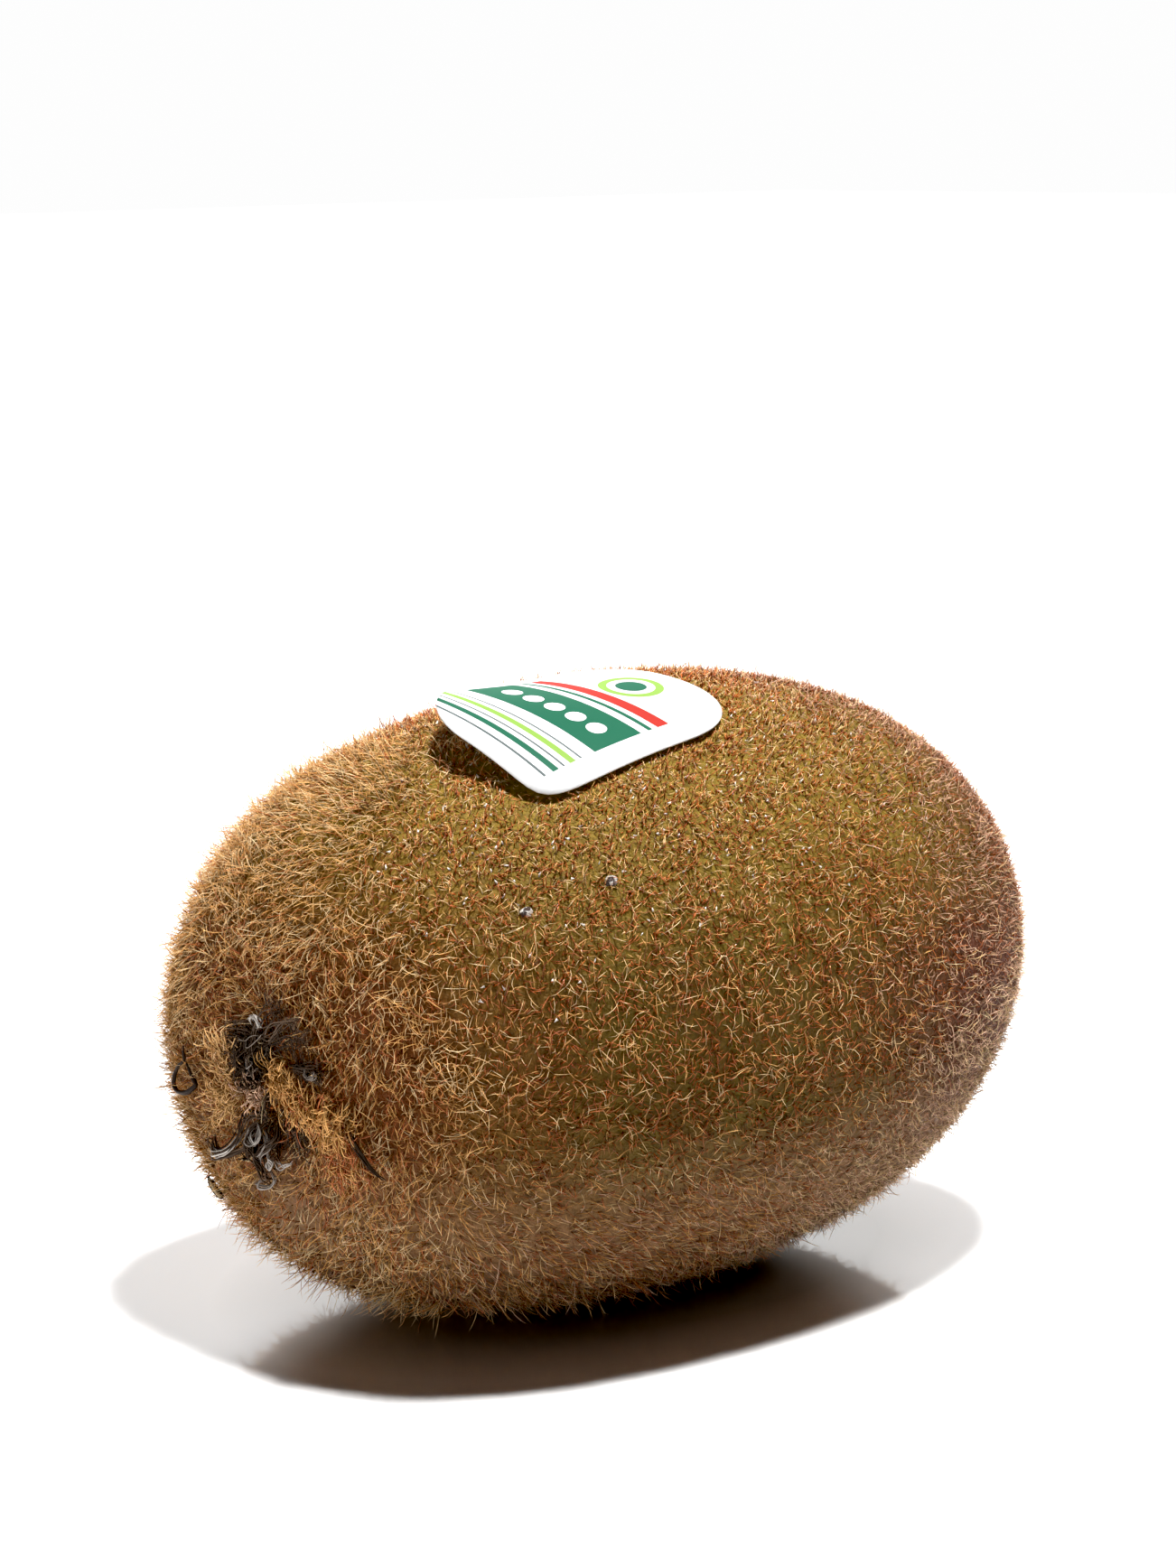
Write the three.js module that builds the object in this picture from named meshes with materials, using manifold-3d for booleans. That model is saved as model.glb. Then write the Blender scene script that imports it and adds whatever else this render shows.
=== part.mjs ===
// A kiwi fruit lying on its side, blossom end towards -X, millimetres, +Z up.
// The skin is one egg-shaped solid with a small flat spot under its belly. The dried styles of the
// flower, the woody stem button and a small paper label are pieces of their own, each a hair's
// breadth clear of the skin.
import * as THREE from 'three';
import { mergeVertices } from 'three/addons/utils/BufferGeometryUtils.js';
import Module from 'manifold-3d';

const wasm = await Module();
wasm.setup();
const { Manifold, Mesh } = wasm;
const { degToRad, smoothstep } = THREE.MathUtils;

// ---------- fruit ----------
const LENGTH = 68.3; // blossom end to stem end
const WIDTH = 52.3; // across, side to side
const HEIGHT = 46.4; // across, top to belly
const BLUNT_BLOSSOM = 3.5; // 2 is an ellipse, more is blunter
const BLUNT_STEM = 2.57;
const EGG = -0.034; // moves the widest place towards the blossom end
const FULLNESS = 0.03; // fills the shoulders
const TILT = degToRad(1.7); // the blossom end hangs lower
const END_SAG = 1.95; // how far the ends leave the straight axis
const REST_DEPTH = 0.36; // depth of the flat spot under the belly
const AROUND = 72; // facets round the fruit
const ALONG = 40; // facets from end to end
const BUMPS = [ // two grains on the skin: place along the axis, angle round it, radius
  { x: -24.2, angle: 140.5, size: 0.62 },
  { x: -17.8, angle: 141.4, size: 0.55 },
];

// ---------- ends: shallow dishes, placed across the axis ----------
const BLOSSOM = { y: 0.4, z: 0, depth: 0.9, radius: 6.5 };
const STEM = { y: 0, z: 0, depth: 1.5, radius: 6.0 };
const CLEARANCE = 0.32; // gap between a loose piece and the skin

// ---------- dried styles ----------
const STYLE_THICK = 0.5;
const KNOT = 0.85; // radius of the knot the styles of a tuft share
const TUFTS = [ // knot place, styles, the sector they fan over (degrees), reach
  { name: 'dried_styles_upper', y: 0.6, z: 4.4, count: 11, from: -120, to: 190, reach: 3.3, seed: 5 },
  { name: 'dried_styles_side', y: -4.6, z: 2.3, count: 5, from: 90, to: 260, reach: 2.2, seed: 9 },
  { name: 'dried_styles_lower', y: 1.8, z: -4.2, count: 12, from: -200, to: 60, reach: 3.5, seed: 3 },
];
const STRAYS = [ // styles that broke off and hang in the fuzz: [across, up, height] points
  { name: 'stray_style_loop',
    path: [[9.9, 1.9, 0.8], [9.3, 0.6, 0.9], [9.1, -0.9, 0.9], [10.0, -2.2, 1.0], [11.1, -1.5, 1.2],
      [11.0, -0.2, 1.6]] },
  { name: 'stray_style_thread',
    path: [[-10.0, -0.9, 0.8], [-10.6, -1.9, 1.2], [-11.3, -3.0, 1.1], [-12.2, -4.5, 0.8]] },
];

// ---------- stem button with its dried sepals ----------
const BUTTON = { radius: 2.6, height: 1.5, pit: 0.7, pitRadius: 1.3, rim: 0.35 };
const SEPALS = { count: 5, inner: 1.6, reach: 5.6, width: 1.15, thick: 0.45 };

// ---------- label ----------
const LABEL = {
  x: -5.88, // place along the fruit
  lean: degToRad(14.02), // from the top towards the front
  turn: degToRad(-6.63), offset: -1.67, // it sits askew
  back: 13.74, front: 9.09, half: 7.98, // reach to the squared edge, to the arched edge, half width
  nearCorner: 8.95, farCorner: 1.96, archness: 2.78,
  thick: 0.16, gap: 0.4,
  lift: 4.77, liftFrom: -3.7, curl: 1.81, skew: 1.26, // its far back corner has come away
};

const HALF = LENGTH / 2;
const TURN = 2 * Math.PI;

/** Radius of the outline at t = -1 (blossom end) .. 1 (stem end), not yet scaled. */
function rawRadius(t) {
  const blunt = THREE.MathUtils.lerp(BLUNT_BLOSSOM, BLUNT_STEM, smoothstep(t, -1, 1));
  return Math.max(0, 1 - t * t) ** (1 / blunt) * (1 + EGG * t + FULLNESS * t * t);
}

const WIDEST = Math.max(...Array.from({ length: 401 }, (_, i) => rawRadius(i / 200 - 1)));

/** Radius of the outline; 1 at the widest place. */
function outlineRadius(t) {
  return rawRadius(t) / WIDEST;
}

/** Gentle unevenness of a grown fruit, a factor on the radius. */
function unevenness(t, angle) {
  const waves = 0.006 * Math.cos(3 * angle + 0.7 + t) + 0.005 * Math.sin(2 * angle - 2.2 * t)
    + 0.004 * Math.cos(5 * angle - 1.5 * t);
  return 1 + (1 - t ** 4) * waves;
}

/** Point of the skin before the fruit is laid down, at t along the axis and an angle round it. */
function skinPoint(t, angle) {
  const r = outlineRadius(t) * unevenness(t, angle);
  const p = new THREE.Vector3(t * HALF, (WIDTH / 2) * r * Math.cos(angle), (HEIGHT / 2) * r * Math.sin(angle));
  const spot = t < 0 ? BLOSSOM : STEM;
  const apart = (p.y - spot.y) ** 2 + (p.z - spot.z) ** 2;
  p.x -= Math.sign(t) * spot.depth * Math.exp(-apart / spot.radius ** 2);
  return p;
}

/** Point a given height above the skin. */
function abovePoint(t, angle, height) {
  const e = 1e-3;
  const along = skinPoint(t + e, angle).sub(skinPoint(t - e, angle));
  const around = skinPoint(t, angle + e).sub(skinPoint(t, angle - e));
  return skinPoint(t, angle).addScaledVector(around.cross(along).normalize(), height);
}

/** Point above the skin of an end face (side -1 blossom, 1 stem), given by its place across the axis. */
function endPoint(side, y, z, height) {
  const angle = Math.atan2(z / HEIGHT, y / WIDTH);
  const reach = Math.hypot((2 * y) / WIDTH, (2 * z) / HEIGHT);
  let outer = 1;
  let inner = 0.2;
  for (let i = 0; i < 30; i += 1) {
    const middle = (outer + inner) / 2;
    const t = side * middle;
    if (outlineRadius(t) * unevenness(t, angle) < reach) outer = middle;
    else inner = middle;
  }
  const p = skinPoint(side * inner, angle);
  p.x += side * height;
  return p;
}

/** Runs a function over every vertex of a geometry. */
function reshape(geometry, move) {
  const position = geometry.attributes.position;
  for (let i = 0; i < position.count; i += 1) {
    const p = move(new THREE.Vector3().fromBufferAttribute(position, i));
    position.setXYZ(i, p.x, p.y, p.z);
  }
  return geometry;
}

/** Bends the ends off the axis and tips the fruit. */
function lean(p) {
  p.z += END_SAG * (p.x / HALF) ** 3;
  return p.applyAxisAngle(new THREE.Vector3(0, 1, 0), -TILT);
}

/** Height that sets the belly just far enough into the ground for its flat spot. */
function findLift() {
  let lowest = 0;
  for (let t = -0.5; t < 0.5; t += 0.01) {
    for (let angle = -2.2; angle < -0.9; angle += 0.01) lowest = Math.min(lowest, lean(skinPoint(t, angle)).z);
  }
  return -lowest - REST_DEPTH;
}
const LIFT = findLift();

/** Lays a point of the upright frame down on the ground. */
function settle(p) {
  lean(p).z += LIFT;
  return p;
}

/** Closed body of a three.js geometry. */
function solid(geometry) {
  const bare = geometry.clone();
  bare.deleteAttribute('normal');
  bare.deleteAttribute('uv');
  const merged = mergeVertices(bare, 1e-5);
  return new Manifold(new Mesh({
    numProp: 3,
    vertProperties: new Float32Array(merged.attributes.position.array),
    triVerts: new Uint32Array(merged.index.array),
  }));
}

/** Named and coloured mesh of a closed body. */
function piece(name, body, color, roughness) {
  const data = body.getMesh();
  const geometry = new THREE.BufferGeometry();
  geometry.setAttribute('position', new THREE.BufferAttribute(new Float32Array(data.vertProperties), 3));
  geometry.setIndex(new THREE.BufferAttribute(new Uint32Array(data.triVerts), 1));
  geometry.computeVertexNormals();
  const mesh = new THREE.Mesh(geometry, new THREE.MeshStandardMaterial({ color, roughness, metalness: 0 }));
  mesh.name = name;
  return mesh;
}

/** Repeatable random numbers from 0 to 1. */
function dice(seed) {
  let state = seed;
  return () => {
    state = (state * 1103515245 + 12345) % 2147483648;
    return state / 2147483648;
  };
}

/** Skin of the whole fruit: the turned outline, squashed, made uneven, laid down and cut flat below. */
function buildFruit() {
  const outline = [];
  for (let i = 0; i <= ALONG; i += 1) {
    const t = -Math.cos((Math.PI * i) / ALONG);
    outline.push(new THREE.Vector2(i % ALONG === 0 ? 0 : outlineRadius(t), t));
  }
  const turned = new THREE.LatheGeometry(outline, AROUND);
  let body = solid(reshape(turned, (p) => settle(skinPoint(p.y, Math.atan2(p.x, p.z)))));
  for (const bump of BUMPS) {
    const at = settle(skinPoint(bump.x / HALF, degToRad(bump.angle)));
    body = body.add(solid(new THREE.SphereGeometry(bump.size, 12, 8).translate(at.x, at.y, at.z)));
  }
  const ground = new THREE.BoxGeometry(3 * LENGTH, 3 * LENGTH, LENGTH).translate(0, 0, -LENGTH / 2);
  return body.subtract(solid(ground));
}

/** Closed tube along a smooth path through points already laid down. */
function strand(points) {
  const section = new THREE.Shape();
  section.absarc(0, 0, STYLE_THICK / 2, 0, TURN);
  return solid(new THREE.ExtrudeGeometry(section, {
    steps: points.length * 3,
    curveSegments: 3,
    bevelEnabled: false,
    extrudePath: new THREE.CatmullRomCurve3(points),
  }));
}

/** One tuft of dried styles: curled strands that leave a common knot and lie over the end face. */
function buildTuft({ y, z, count, from, to, reach, seed }) {
  const random = dice(seed);
  const rise = CLEARANCE + KNOT;
  const knot = settle(endPoint(-1, y, z, rise));
  let body = solid(new THREE.SphereGeometry(KNOT, 10, 8).translate(knot.x, knot.y, knot.z));
  for (let i = 0; i < count; i += 1) {
    let heading = degToRad(from + ((to - from) * (i + 0.5 * random())) / (count - 1));
    const curl = (random() - 0.5) * 2.6;
    const length = reach * (0.7 + 0.45 * random());
    const hump = 0.4 + 0.9 * random();
    const points = [knot.clone()];
    let py = y;
    let pz = z;
    const legs = 5;
    for (let leg = 1; leg <= legs; leg += 1) {
      heading += curl * 0.45;
      py += (Math.cos(heading) * length) / legs;
      pz += (Math.sin(heading) * length) / legs;
      const height = rise + hump * Math.sin((Math.PI * leg) / legs);
      points.push(settle(endPoint(-1, py, pz, height)));
    }
    body = body.add(strand(points));
  }
  return body;
}

/** A single style that broke off and hangs in the fuzz. */
function buildStray({ path }) {
  return strand(path.map(([y, z, height]) => settle(endPoint(-1, y, z, height))));
}

/** Woody button left by the stalk, with a hollow middle and dried sepals round it. */
function buildStemButton() {
  const { radius, height, pit, pitRadius, rim } = BUTTON;
  const outline = [[0, 0], [radius * 0.5, 0], [radius, 0], [radius, height - rim], [radius - rim, height],
    [pitRadius, height], [pitRadius * 0.7, height - pit], [0, height - pit]];
  const turned = new THREE.LatheGeometry(outline.map(([r, h]) => new THREE.Vector2(r, h)), 30);
  const lay = (p) => settle(endPoint(1, STEM.y + p.x, STEM.z - p.z, CLEARANCE + p.y));
  let body = solid(reshape(turned, lay));
  for (let i = 0; i < SEPALS.count; i += 1) {
    const leaf = new THREE.Shape();
    leaf.moveTo(SEPALS.inner, -SEPALS.width * 0.7);
    leaf.quadraticCurveTo(SEPALS.reach * 0.7, -SEPALS.width * 1.3, SEPALS.reach, 0);
    leaf.quadraticCurveTo(SEPALS.reach * 0.7, SEPALS.width * 1.3, SEPALS.inner, SEPALS.width * 0.7);
    const sepal = new THREE.ExtrudeGeometry(leaf, { depth: SEPALS.thick, bevelEnabled: false, curveSegments: 7 });
    sepal.rotateX(-Math.PI / 2).rotateY((TURN * i) / SEPALS.count + 0.3);
    body = body.add(solid(reshape(sepal, lay)));
  }
  return body;
}

/** Reach of the label's edge from its middle: squared at the back, arched at the front. */
function labelReach(angle) {
  const back = Math.cos(angle) < 0;
  const corner = Math.sin(angle) < 0 ? LABEL.farCorner : LABEL.nearCorner;
  const n = back ? corner : LABEL.archness;
  const half = back ? LABEL.back : LABEL.front;
  return (Math.abs(Math.cos(angle) / half) ** n + Math.abs(Math.sin(angle) / LABEL.half) ** n) ** (-1 / n);
}

/** How far the paper has come away, most at its far back corner. */
function labelPeel(u, v) {
  const behind = THREE.MathUtils.clamp((-u - LABEL.liftFrom) / (LABEL.back - LABEL.liftFrom), 0, 1);
  const aside = THREE.MathUtils.clamp((LABEL.half - v) / (2 * LABEL.half), 0, 1);
  return LABEL.lift * behind ** LABEL.curl * aside ** LABEL.skew;
}

/** Thin paper label wrapped over the top, one corner peeling up. */
function buildLabel() {
  const rings = 12;
  const outline = [];
  for (let i = 0; i <= rings; i += 1) outline.push(new THREE.Vector2(i / rings, 0));
  for (let i = rings; i >= 0; i -= 1) outline.push(new THREE.Vector2(i / rings, LABEL.thick));
  const disc = new THREE.LatheGeometry(outline, 64);
  return solid(reshape(disc, (p) => {
    const angle = Math.atan2(p.z, p.x);
    const reach = labelReach(angle) * Math.hypot(p.x, p.z);
    const u = reach * Math.cos(angle);
    const v = reach * Math.sin(angle);
    const ahead = u * Math.cos(LABEL.turn) - v * Math.sin(LABEL.turn);
    const across = u * Math.sin(LABEL.turn) + v * Math.cos(LABEL.turn) + LABEL.offset;
    const round = Math.PI / 2 + LABEL.lean + across / (HEIGHT / 2 + LABEL.gap);
    return settle(abovePoint((LABEL.x + ahead) / HALF, round, LABEL.gap + labelPeel(u, v) + p.y));
  }));
}

const kiwi = new THREE.Group();
kiwi.name = 'kiwi';
kiwi.add(piece('fruit', buildFruit(), 0x7a5f30, 0.8));
for (const tuft of TUFTS) kiwi.add(piece(tuft.name, buildTuft(tuft), 0x2c2622, 0.6));
for (const stray of STRAYS) kiwi.add(piece(stray.name, buildStray(stray), 0x231d1a, 0.55));
kiwi.add(piece('stem_button', buildStemButton(), 0x4a3524, 0.85));
kiwi.add(piece('produce_label', buildLabel(), 0xf2f2ee, 0.35));

export default kiwi;
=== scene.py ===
"""A kiwi fruit lying on its side, blossom end towards -X, with +Z up and its belly on the ground.

Lengths inside this file are millimetres, and meshes are scaled to metres as they are made. The
skin is one grown solid. Every hair and fibre that stands off it is a closed, tapered strand bent
from one small template per kind, and each coat of them is one mesh.
"""

import logging
import math
from dataclasses import dataclass, field
from enum import Enum
from functools import cached_property

import bmesh
import bpy
import numpy as np
from mathutils import Matrix, Vector, noise

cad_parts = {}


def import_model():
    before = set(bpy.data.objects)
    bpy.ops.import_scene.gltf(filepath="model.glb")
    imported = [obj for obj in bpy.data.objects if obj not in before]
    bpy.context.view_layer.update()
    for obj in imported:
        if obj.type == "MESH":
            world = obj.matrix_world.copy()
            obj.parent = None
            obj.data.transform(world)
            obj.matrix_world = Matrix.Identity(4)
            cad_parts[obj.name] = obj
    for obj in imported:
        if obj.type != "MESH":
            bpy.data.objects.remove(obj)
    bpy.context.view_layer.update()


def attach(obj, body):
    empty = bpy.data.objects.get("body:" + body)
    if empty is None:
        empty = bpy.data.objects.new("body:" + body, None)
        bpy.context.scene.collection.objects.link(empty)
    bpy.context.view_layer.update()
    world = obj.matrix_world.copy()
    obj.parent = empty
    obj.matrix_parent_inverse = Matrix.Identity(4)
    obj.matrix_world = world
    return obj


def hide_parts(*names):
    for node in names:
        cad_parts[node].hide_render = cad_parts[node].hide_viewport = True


LOG = logging.getLogger("kiwi")
MM = 0.001
TURN = 2 * math.pi
STRAND_UV = "OFBake"
LABEL_UV = "label_plane"
LOWEST = 0.03  # height above the ground that every strand keeps

Array = np.ndarray
Colour = tuple[float, float, float, float]
Socket = bpy.types.NodeSocket


def rgb(red: float, green: float, blue: float) -> Colour:
    """Opaque linear colour."""
    return (red, green, blue, 1.0)


def smooth(x: Array, low: float, high: float) -> Array:
    """Smooth step from 0 at low to 1 at high."""
    s = np.clip((x - low) / (high - low), 0.0, 1.0)
    return s * s * (3 - 2 * s)


def unit(vectors: Array) -> Array:
    """Vectors scaled to length one."""
    return vectors / np.maximum(np.linalg.norm(vectors, axis=-1, keepdims=True), 1e-12)


def dot(a: Array, b: Array) -> Array:
    """Dot products along the last axis, kept as a column."""
    return (a * b).sum(-1, keepdims=True)


# ---------- the form of the fruit ----------


@dataclass(frozen=True)
class Dish:
    """A shallow dish in an end face, placed across the axis."""

    y: float
    z: float
    depth: float
    radius: float


@dataclass(frozen=True)
class FruitForm:
    """Egg-shaped outline of the skin. Points are named by v along the axis (-1..1) and an angle."""

    length: float = 68.3
    width: float = 52.3
    height: float = 46.4
    blunt_blossom: float = 3.5  # exponents that blunt the ends
    blunt_stem: float = 2.57
    egg: float = -0.034  # how much wider one end is than the other
    fullness: float = 0.03  # how much wider both ends are than the middle
    tilt: float = math.radians(1.7)
    end_sag: float = 1.95  # how far the ends bend off the axis
    rest_depth: float = 0.36  # how far the belly is pressed flat
    halvings: int = 30  # steps that find where an end face is so wide
    blossom: Dish = Dish(0.4, 0.0, 0.9, 6.5)
    stem: Dish = Dish(0.0, 0.0, 1.5, 6.0)

    def raw_radius(self, t: Array) -> Array:
        """Outline radius before it is scaled to 1 at the widest place.

        Args:
            t: Place along the axis.

        Returns:
            The radius there.
        """
        s = (t + 1) / 2
        blunt = self.blunt_blossom + (self.blunt_stem - self.blunt_blossom) * s * s * (3 - 2 * s)
        return np.maximum(0, 1 - t * t) ** (1 / blunt) * (1 + self.egg * t + self.fullness * t * t)

    @cached_property
    def widest(self) -> float:
        """Largest raw radius."""
        return float(self.raw_radius(np.linspace(-1, 1, 401)).max())

    def girth(self, t: Array, a: Array) -> Array:
        """Outline radius with the slight unevenness of a grown fruit.

        Args:
            t: Place along the axis.
            a: Angle round the axis.

        Returns:
            The radius there, 1 at the widest place.
        """
        waves = 0.006 * np.cos(3 * a + 0.7 + t) + 0.005 * np.sin(2 * a - 2.2 * t)
        waves = waves + 0.004 * np.cos(5 * a - 1.5 * t)
        return self.raw_radius(t) / self.widest * (1 + (1 - t**4) * waves)

    def local(self, t: Array, a: Array) -> Array:
        """Skin points on the straight axis.

        Args:
            t: Place along the axis, -1 blossom end to 1 stem end.
            a: Angle round the axis, 0 towards +Y and a quarter turn on top.

        Returns:
            Points, before the fruit is tipped and set down.
        """
        r = self.girth(t, a)
        x = t * self.length / 2
        y = self.width / 2 * r * np.cos(a)
        z = self.height / 2 * r * np.sin(a)
        for side, dish in ((-1, self.blossom), (1, self.stem)):
            apart = (y - dish.y) ** 2 + (z - dish.z) ** 2
            hollow = side * dish.depth * np.exp(-apart / dish.radius**2)
            x = x - np.where(np.sign(t) == side, hollow, 0)
        return np.stack([x, y, z], -1)

    def leaned(self, points: Array) -> Array:
        """Bends the ends off the axis and tips the whole fruit.

        Args:
            points: Points on the straight axis.

        Returns:
            The same points after both.
        """
        x, y, z = np.moveaxis(points, -1, 0)
        z = z + self.end_sag * (x / (self.length / 2)) ** 3
        c, s = math.cos(-self.tilt), math.sin(-self.tilt)
        return np.stack([x * c + z * s, y, z * c - x * s], -1)

    @cached_property
    def lift(self) -> float:
        """Height that sets the belly just far enough into the ground for its flat spot.

        Returns:
            The height that settled points are raised by.
        """
        belly = np.arange(-0.5, 0.5, 0.01), np.arange(-2.2, -0.9, 0.01)
        t, a = np.meshgrid(*belly, indexing="ij")
        return float(-self.leaned(self.local(t, a))[..., 2].min() - self.rest_depth)

    def settled(self, points: Array) -> Array:
        """Points tipped and set down on the ground."""
        return self.leaned(points) + np.array([0.0, 0.0, self.lift])

    @staticmethod
    def axial(v: Array) -> Array:
        """Place along the axis for v, which is evened out towards the blunt ends."""
        return np.sign(v) * (1 - (1 - np.abs(v)) ** 3)

    @staticmethod
    def evened(t: Array) -> Array:
        """The v of a place along the axis, the other way round from axial."""
        return np.sign(t) * (1 - (1 - np.abs(t)) ** (1 / 3))

    def skin(self, v: Array, a: Array) -> Array:
        """Settled skin points for v and angle."""
        return self.settled(self.local(self.axial(v), a))

    def frames(self, v: Array, a: Array) -> tuple[Array, Array, Array, Array]:
        """Skin points with the directions that a hair or a sheet is laid by.

        Args:
            v: Evened place along the axis.
            a: Angle round the axis.

        Returns:
            Points, outward normals, directions towards the stem end, and directions round.
        """
        step = 1e-4
        ahead, behind = np.minimum(v + step, 1), np.maximum(v - step, -1)
        along = unit(self.skin(ahead, a) - self.skin(behind, a))
        around = unit(self.skin(v, a + step) - self.skin(v, a - step))
        normal = unit(np.cross(around, along))
        return self.skin(v, a), normal, along, np.cross(along, normal)

    def end_point(self, side: int, y: Array, z: Array, height: Array) -> Array:
        """Settled points at a height off an end face.

        Args:
            side: -1 for the blossom end, 1 for the stem end.
            y: Place across the axis.
            z: Place above the axis.
            height: Distance off the skin, along the axis.

        Returns:
            The settled points.
        """
        y, z = np.asarray(y, float), np.asarray(z, float)
        a = np.arctan2(z / self.height, y / self.width)
        reach = np.hypot(2 * y / self.width, 2 * z / self.height)
        outer, inner = np.ones_like(reach), np.full_like(reach, 0.2)
        for _ in range(self.halvings):
            middle = (outer + inner) / 2
            beyond = self.girth(side * middle, a) < reach
            outer, inner = np.where(beyond, middle, outer), np.where(beyond, inner, middle)
        points = self.local(side * inner, a)
        points[..., 0] += side * height
        return self.settled(points)


# ---------- regions of the skin ----------


class Region(Enum):
    """Where on the fruit a coat of hairs changes its habit."""

    BLOSSOM = "blossom"
    CROWN = "crown"
    FLANK = "flank"
    BELLY = "belly"
    STEM = "stem"
    HAUNCH = "haunch"
    FACE = "face"


class Tone(Enum):
    """Families of hair colour; each takes its own stretch of the tone ramp."""

    RUST = 0
    GOLD = 1
    ROSE = 2
    PALE = 3
    DARK = 4
    # pale grey; it also paints the highlights of the dark styles and the glints on the skin
    ASH = 5


TONE_STRETCH = 1 / len(Tone)
TONE_ENDS: dict[Tone, tuple[Colour, Colour]] = {
    Tone.RUST: (rgb(0.190, 0.036, 0.010), rgb(0.66, 0.170, 0.040)),
    Tone.GOLD: (rgb(0.430, 0.155, 0.028), rgb(0.98, 0.540, 0.170)),
    Tone.ROSE: (rgb(0.360, 0.155, 0.078), rgb(0.97, 0.620, 0.410)),
    Tone.PALE: (rgb(0.800, 0.440, 0.150), rgb(1.00, 0.750, 0.420)),
    Tone.DARK: (rgb(0.009, 0.004, 0.002), rgb(0.120, 0.078, 0.052)),
    # pale grey fibres, whose light end also serves as painted highlight and painted glint
    Tone.ASH: (rgb(0.150, 0.118, 0.094), rgb(0.72, 0.66, 0.60)),
}


def memberships(t: Array, a: Array) -> dict[Region, Array]:
    """How far each skin point belongs to each region; the shares add up to one.

    Args:
        t: Place along the axis.
        a: Angle round the axis.

    Returns:
        A share between 0 and 1 for every region.
    """
    wobble = 0.05 * np.sin(3 * a + 1 + 5 * t) + 0.04 * np.sin(7 * a - 9 * t)
    wobble = wobble + 0.03 * np.sin(13 * a + 4 * t)
    up, aside = np.sin(a), np.cos(a)
    edge = -0.92 + 0.27 * smooth(aside, -0.5, -0.1)
    edge = edge + 0.14 * smooth(up, 0.4, 0.7) * smooth(aside, -0.2, 0.1)
    blossom = 1 - smooth(t + 0.5 * wobble, edge - 0.11, edge + 0.13)
    girth = np.maximum(1 - t * t, 0) ** (1 / 3.5)
    apart = np.hypot(26 * girth * aside + 3.4, 23 * girth * up + 1.2) + 20 * wobble
    face = np.where(t < 0, 1 - smooth(apart, 8.5, 14.0), 0)
    blossom = blossom * (1 - face)
    start = 0.04 - 0.12 * (1 - smooth(up, 0.35, 0.75))
    stem = smooth(t + wobble, start, start + 0.6) * (1 - blossom - face)
    rest = 1 - blossom - face - stem
    crown = smooth(up + wobble, 0.25, 0.75) * rest
    belly = smooth(-up + wobble, 0.18, 0.5) * rest
    low = smooth(-up + wobble, -0.15, 0.4)
    forward = smooth(t + wobble, -0.4, 0.25)
    haunch = stem * low + belly * forward
    belly = belly * (1 - forward)
    stem = stem * (1 - low)
    flank = np.maximum(1 - blossom - face - stem - crown - belly - haunch, 0)
    return dict(zip(Region, (blossom, crown, flank, belly, stem, haunch, face)))


# ---------- strands ----------


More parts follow.
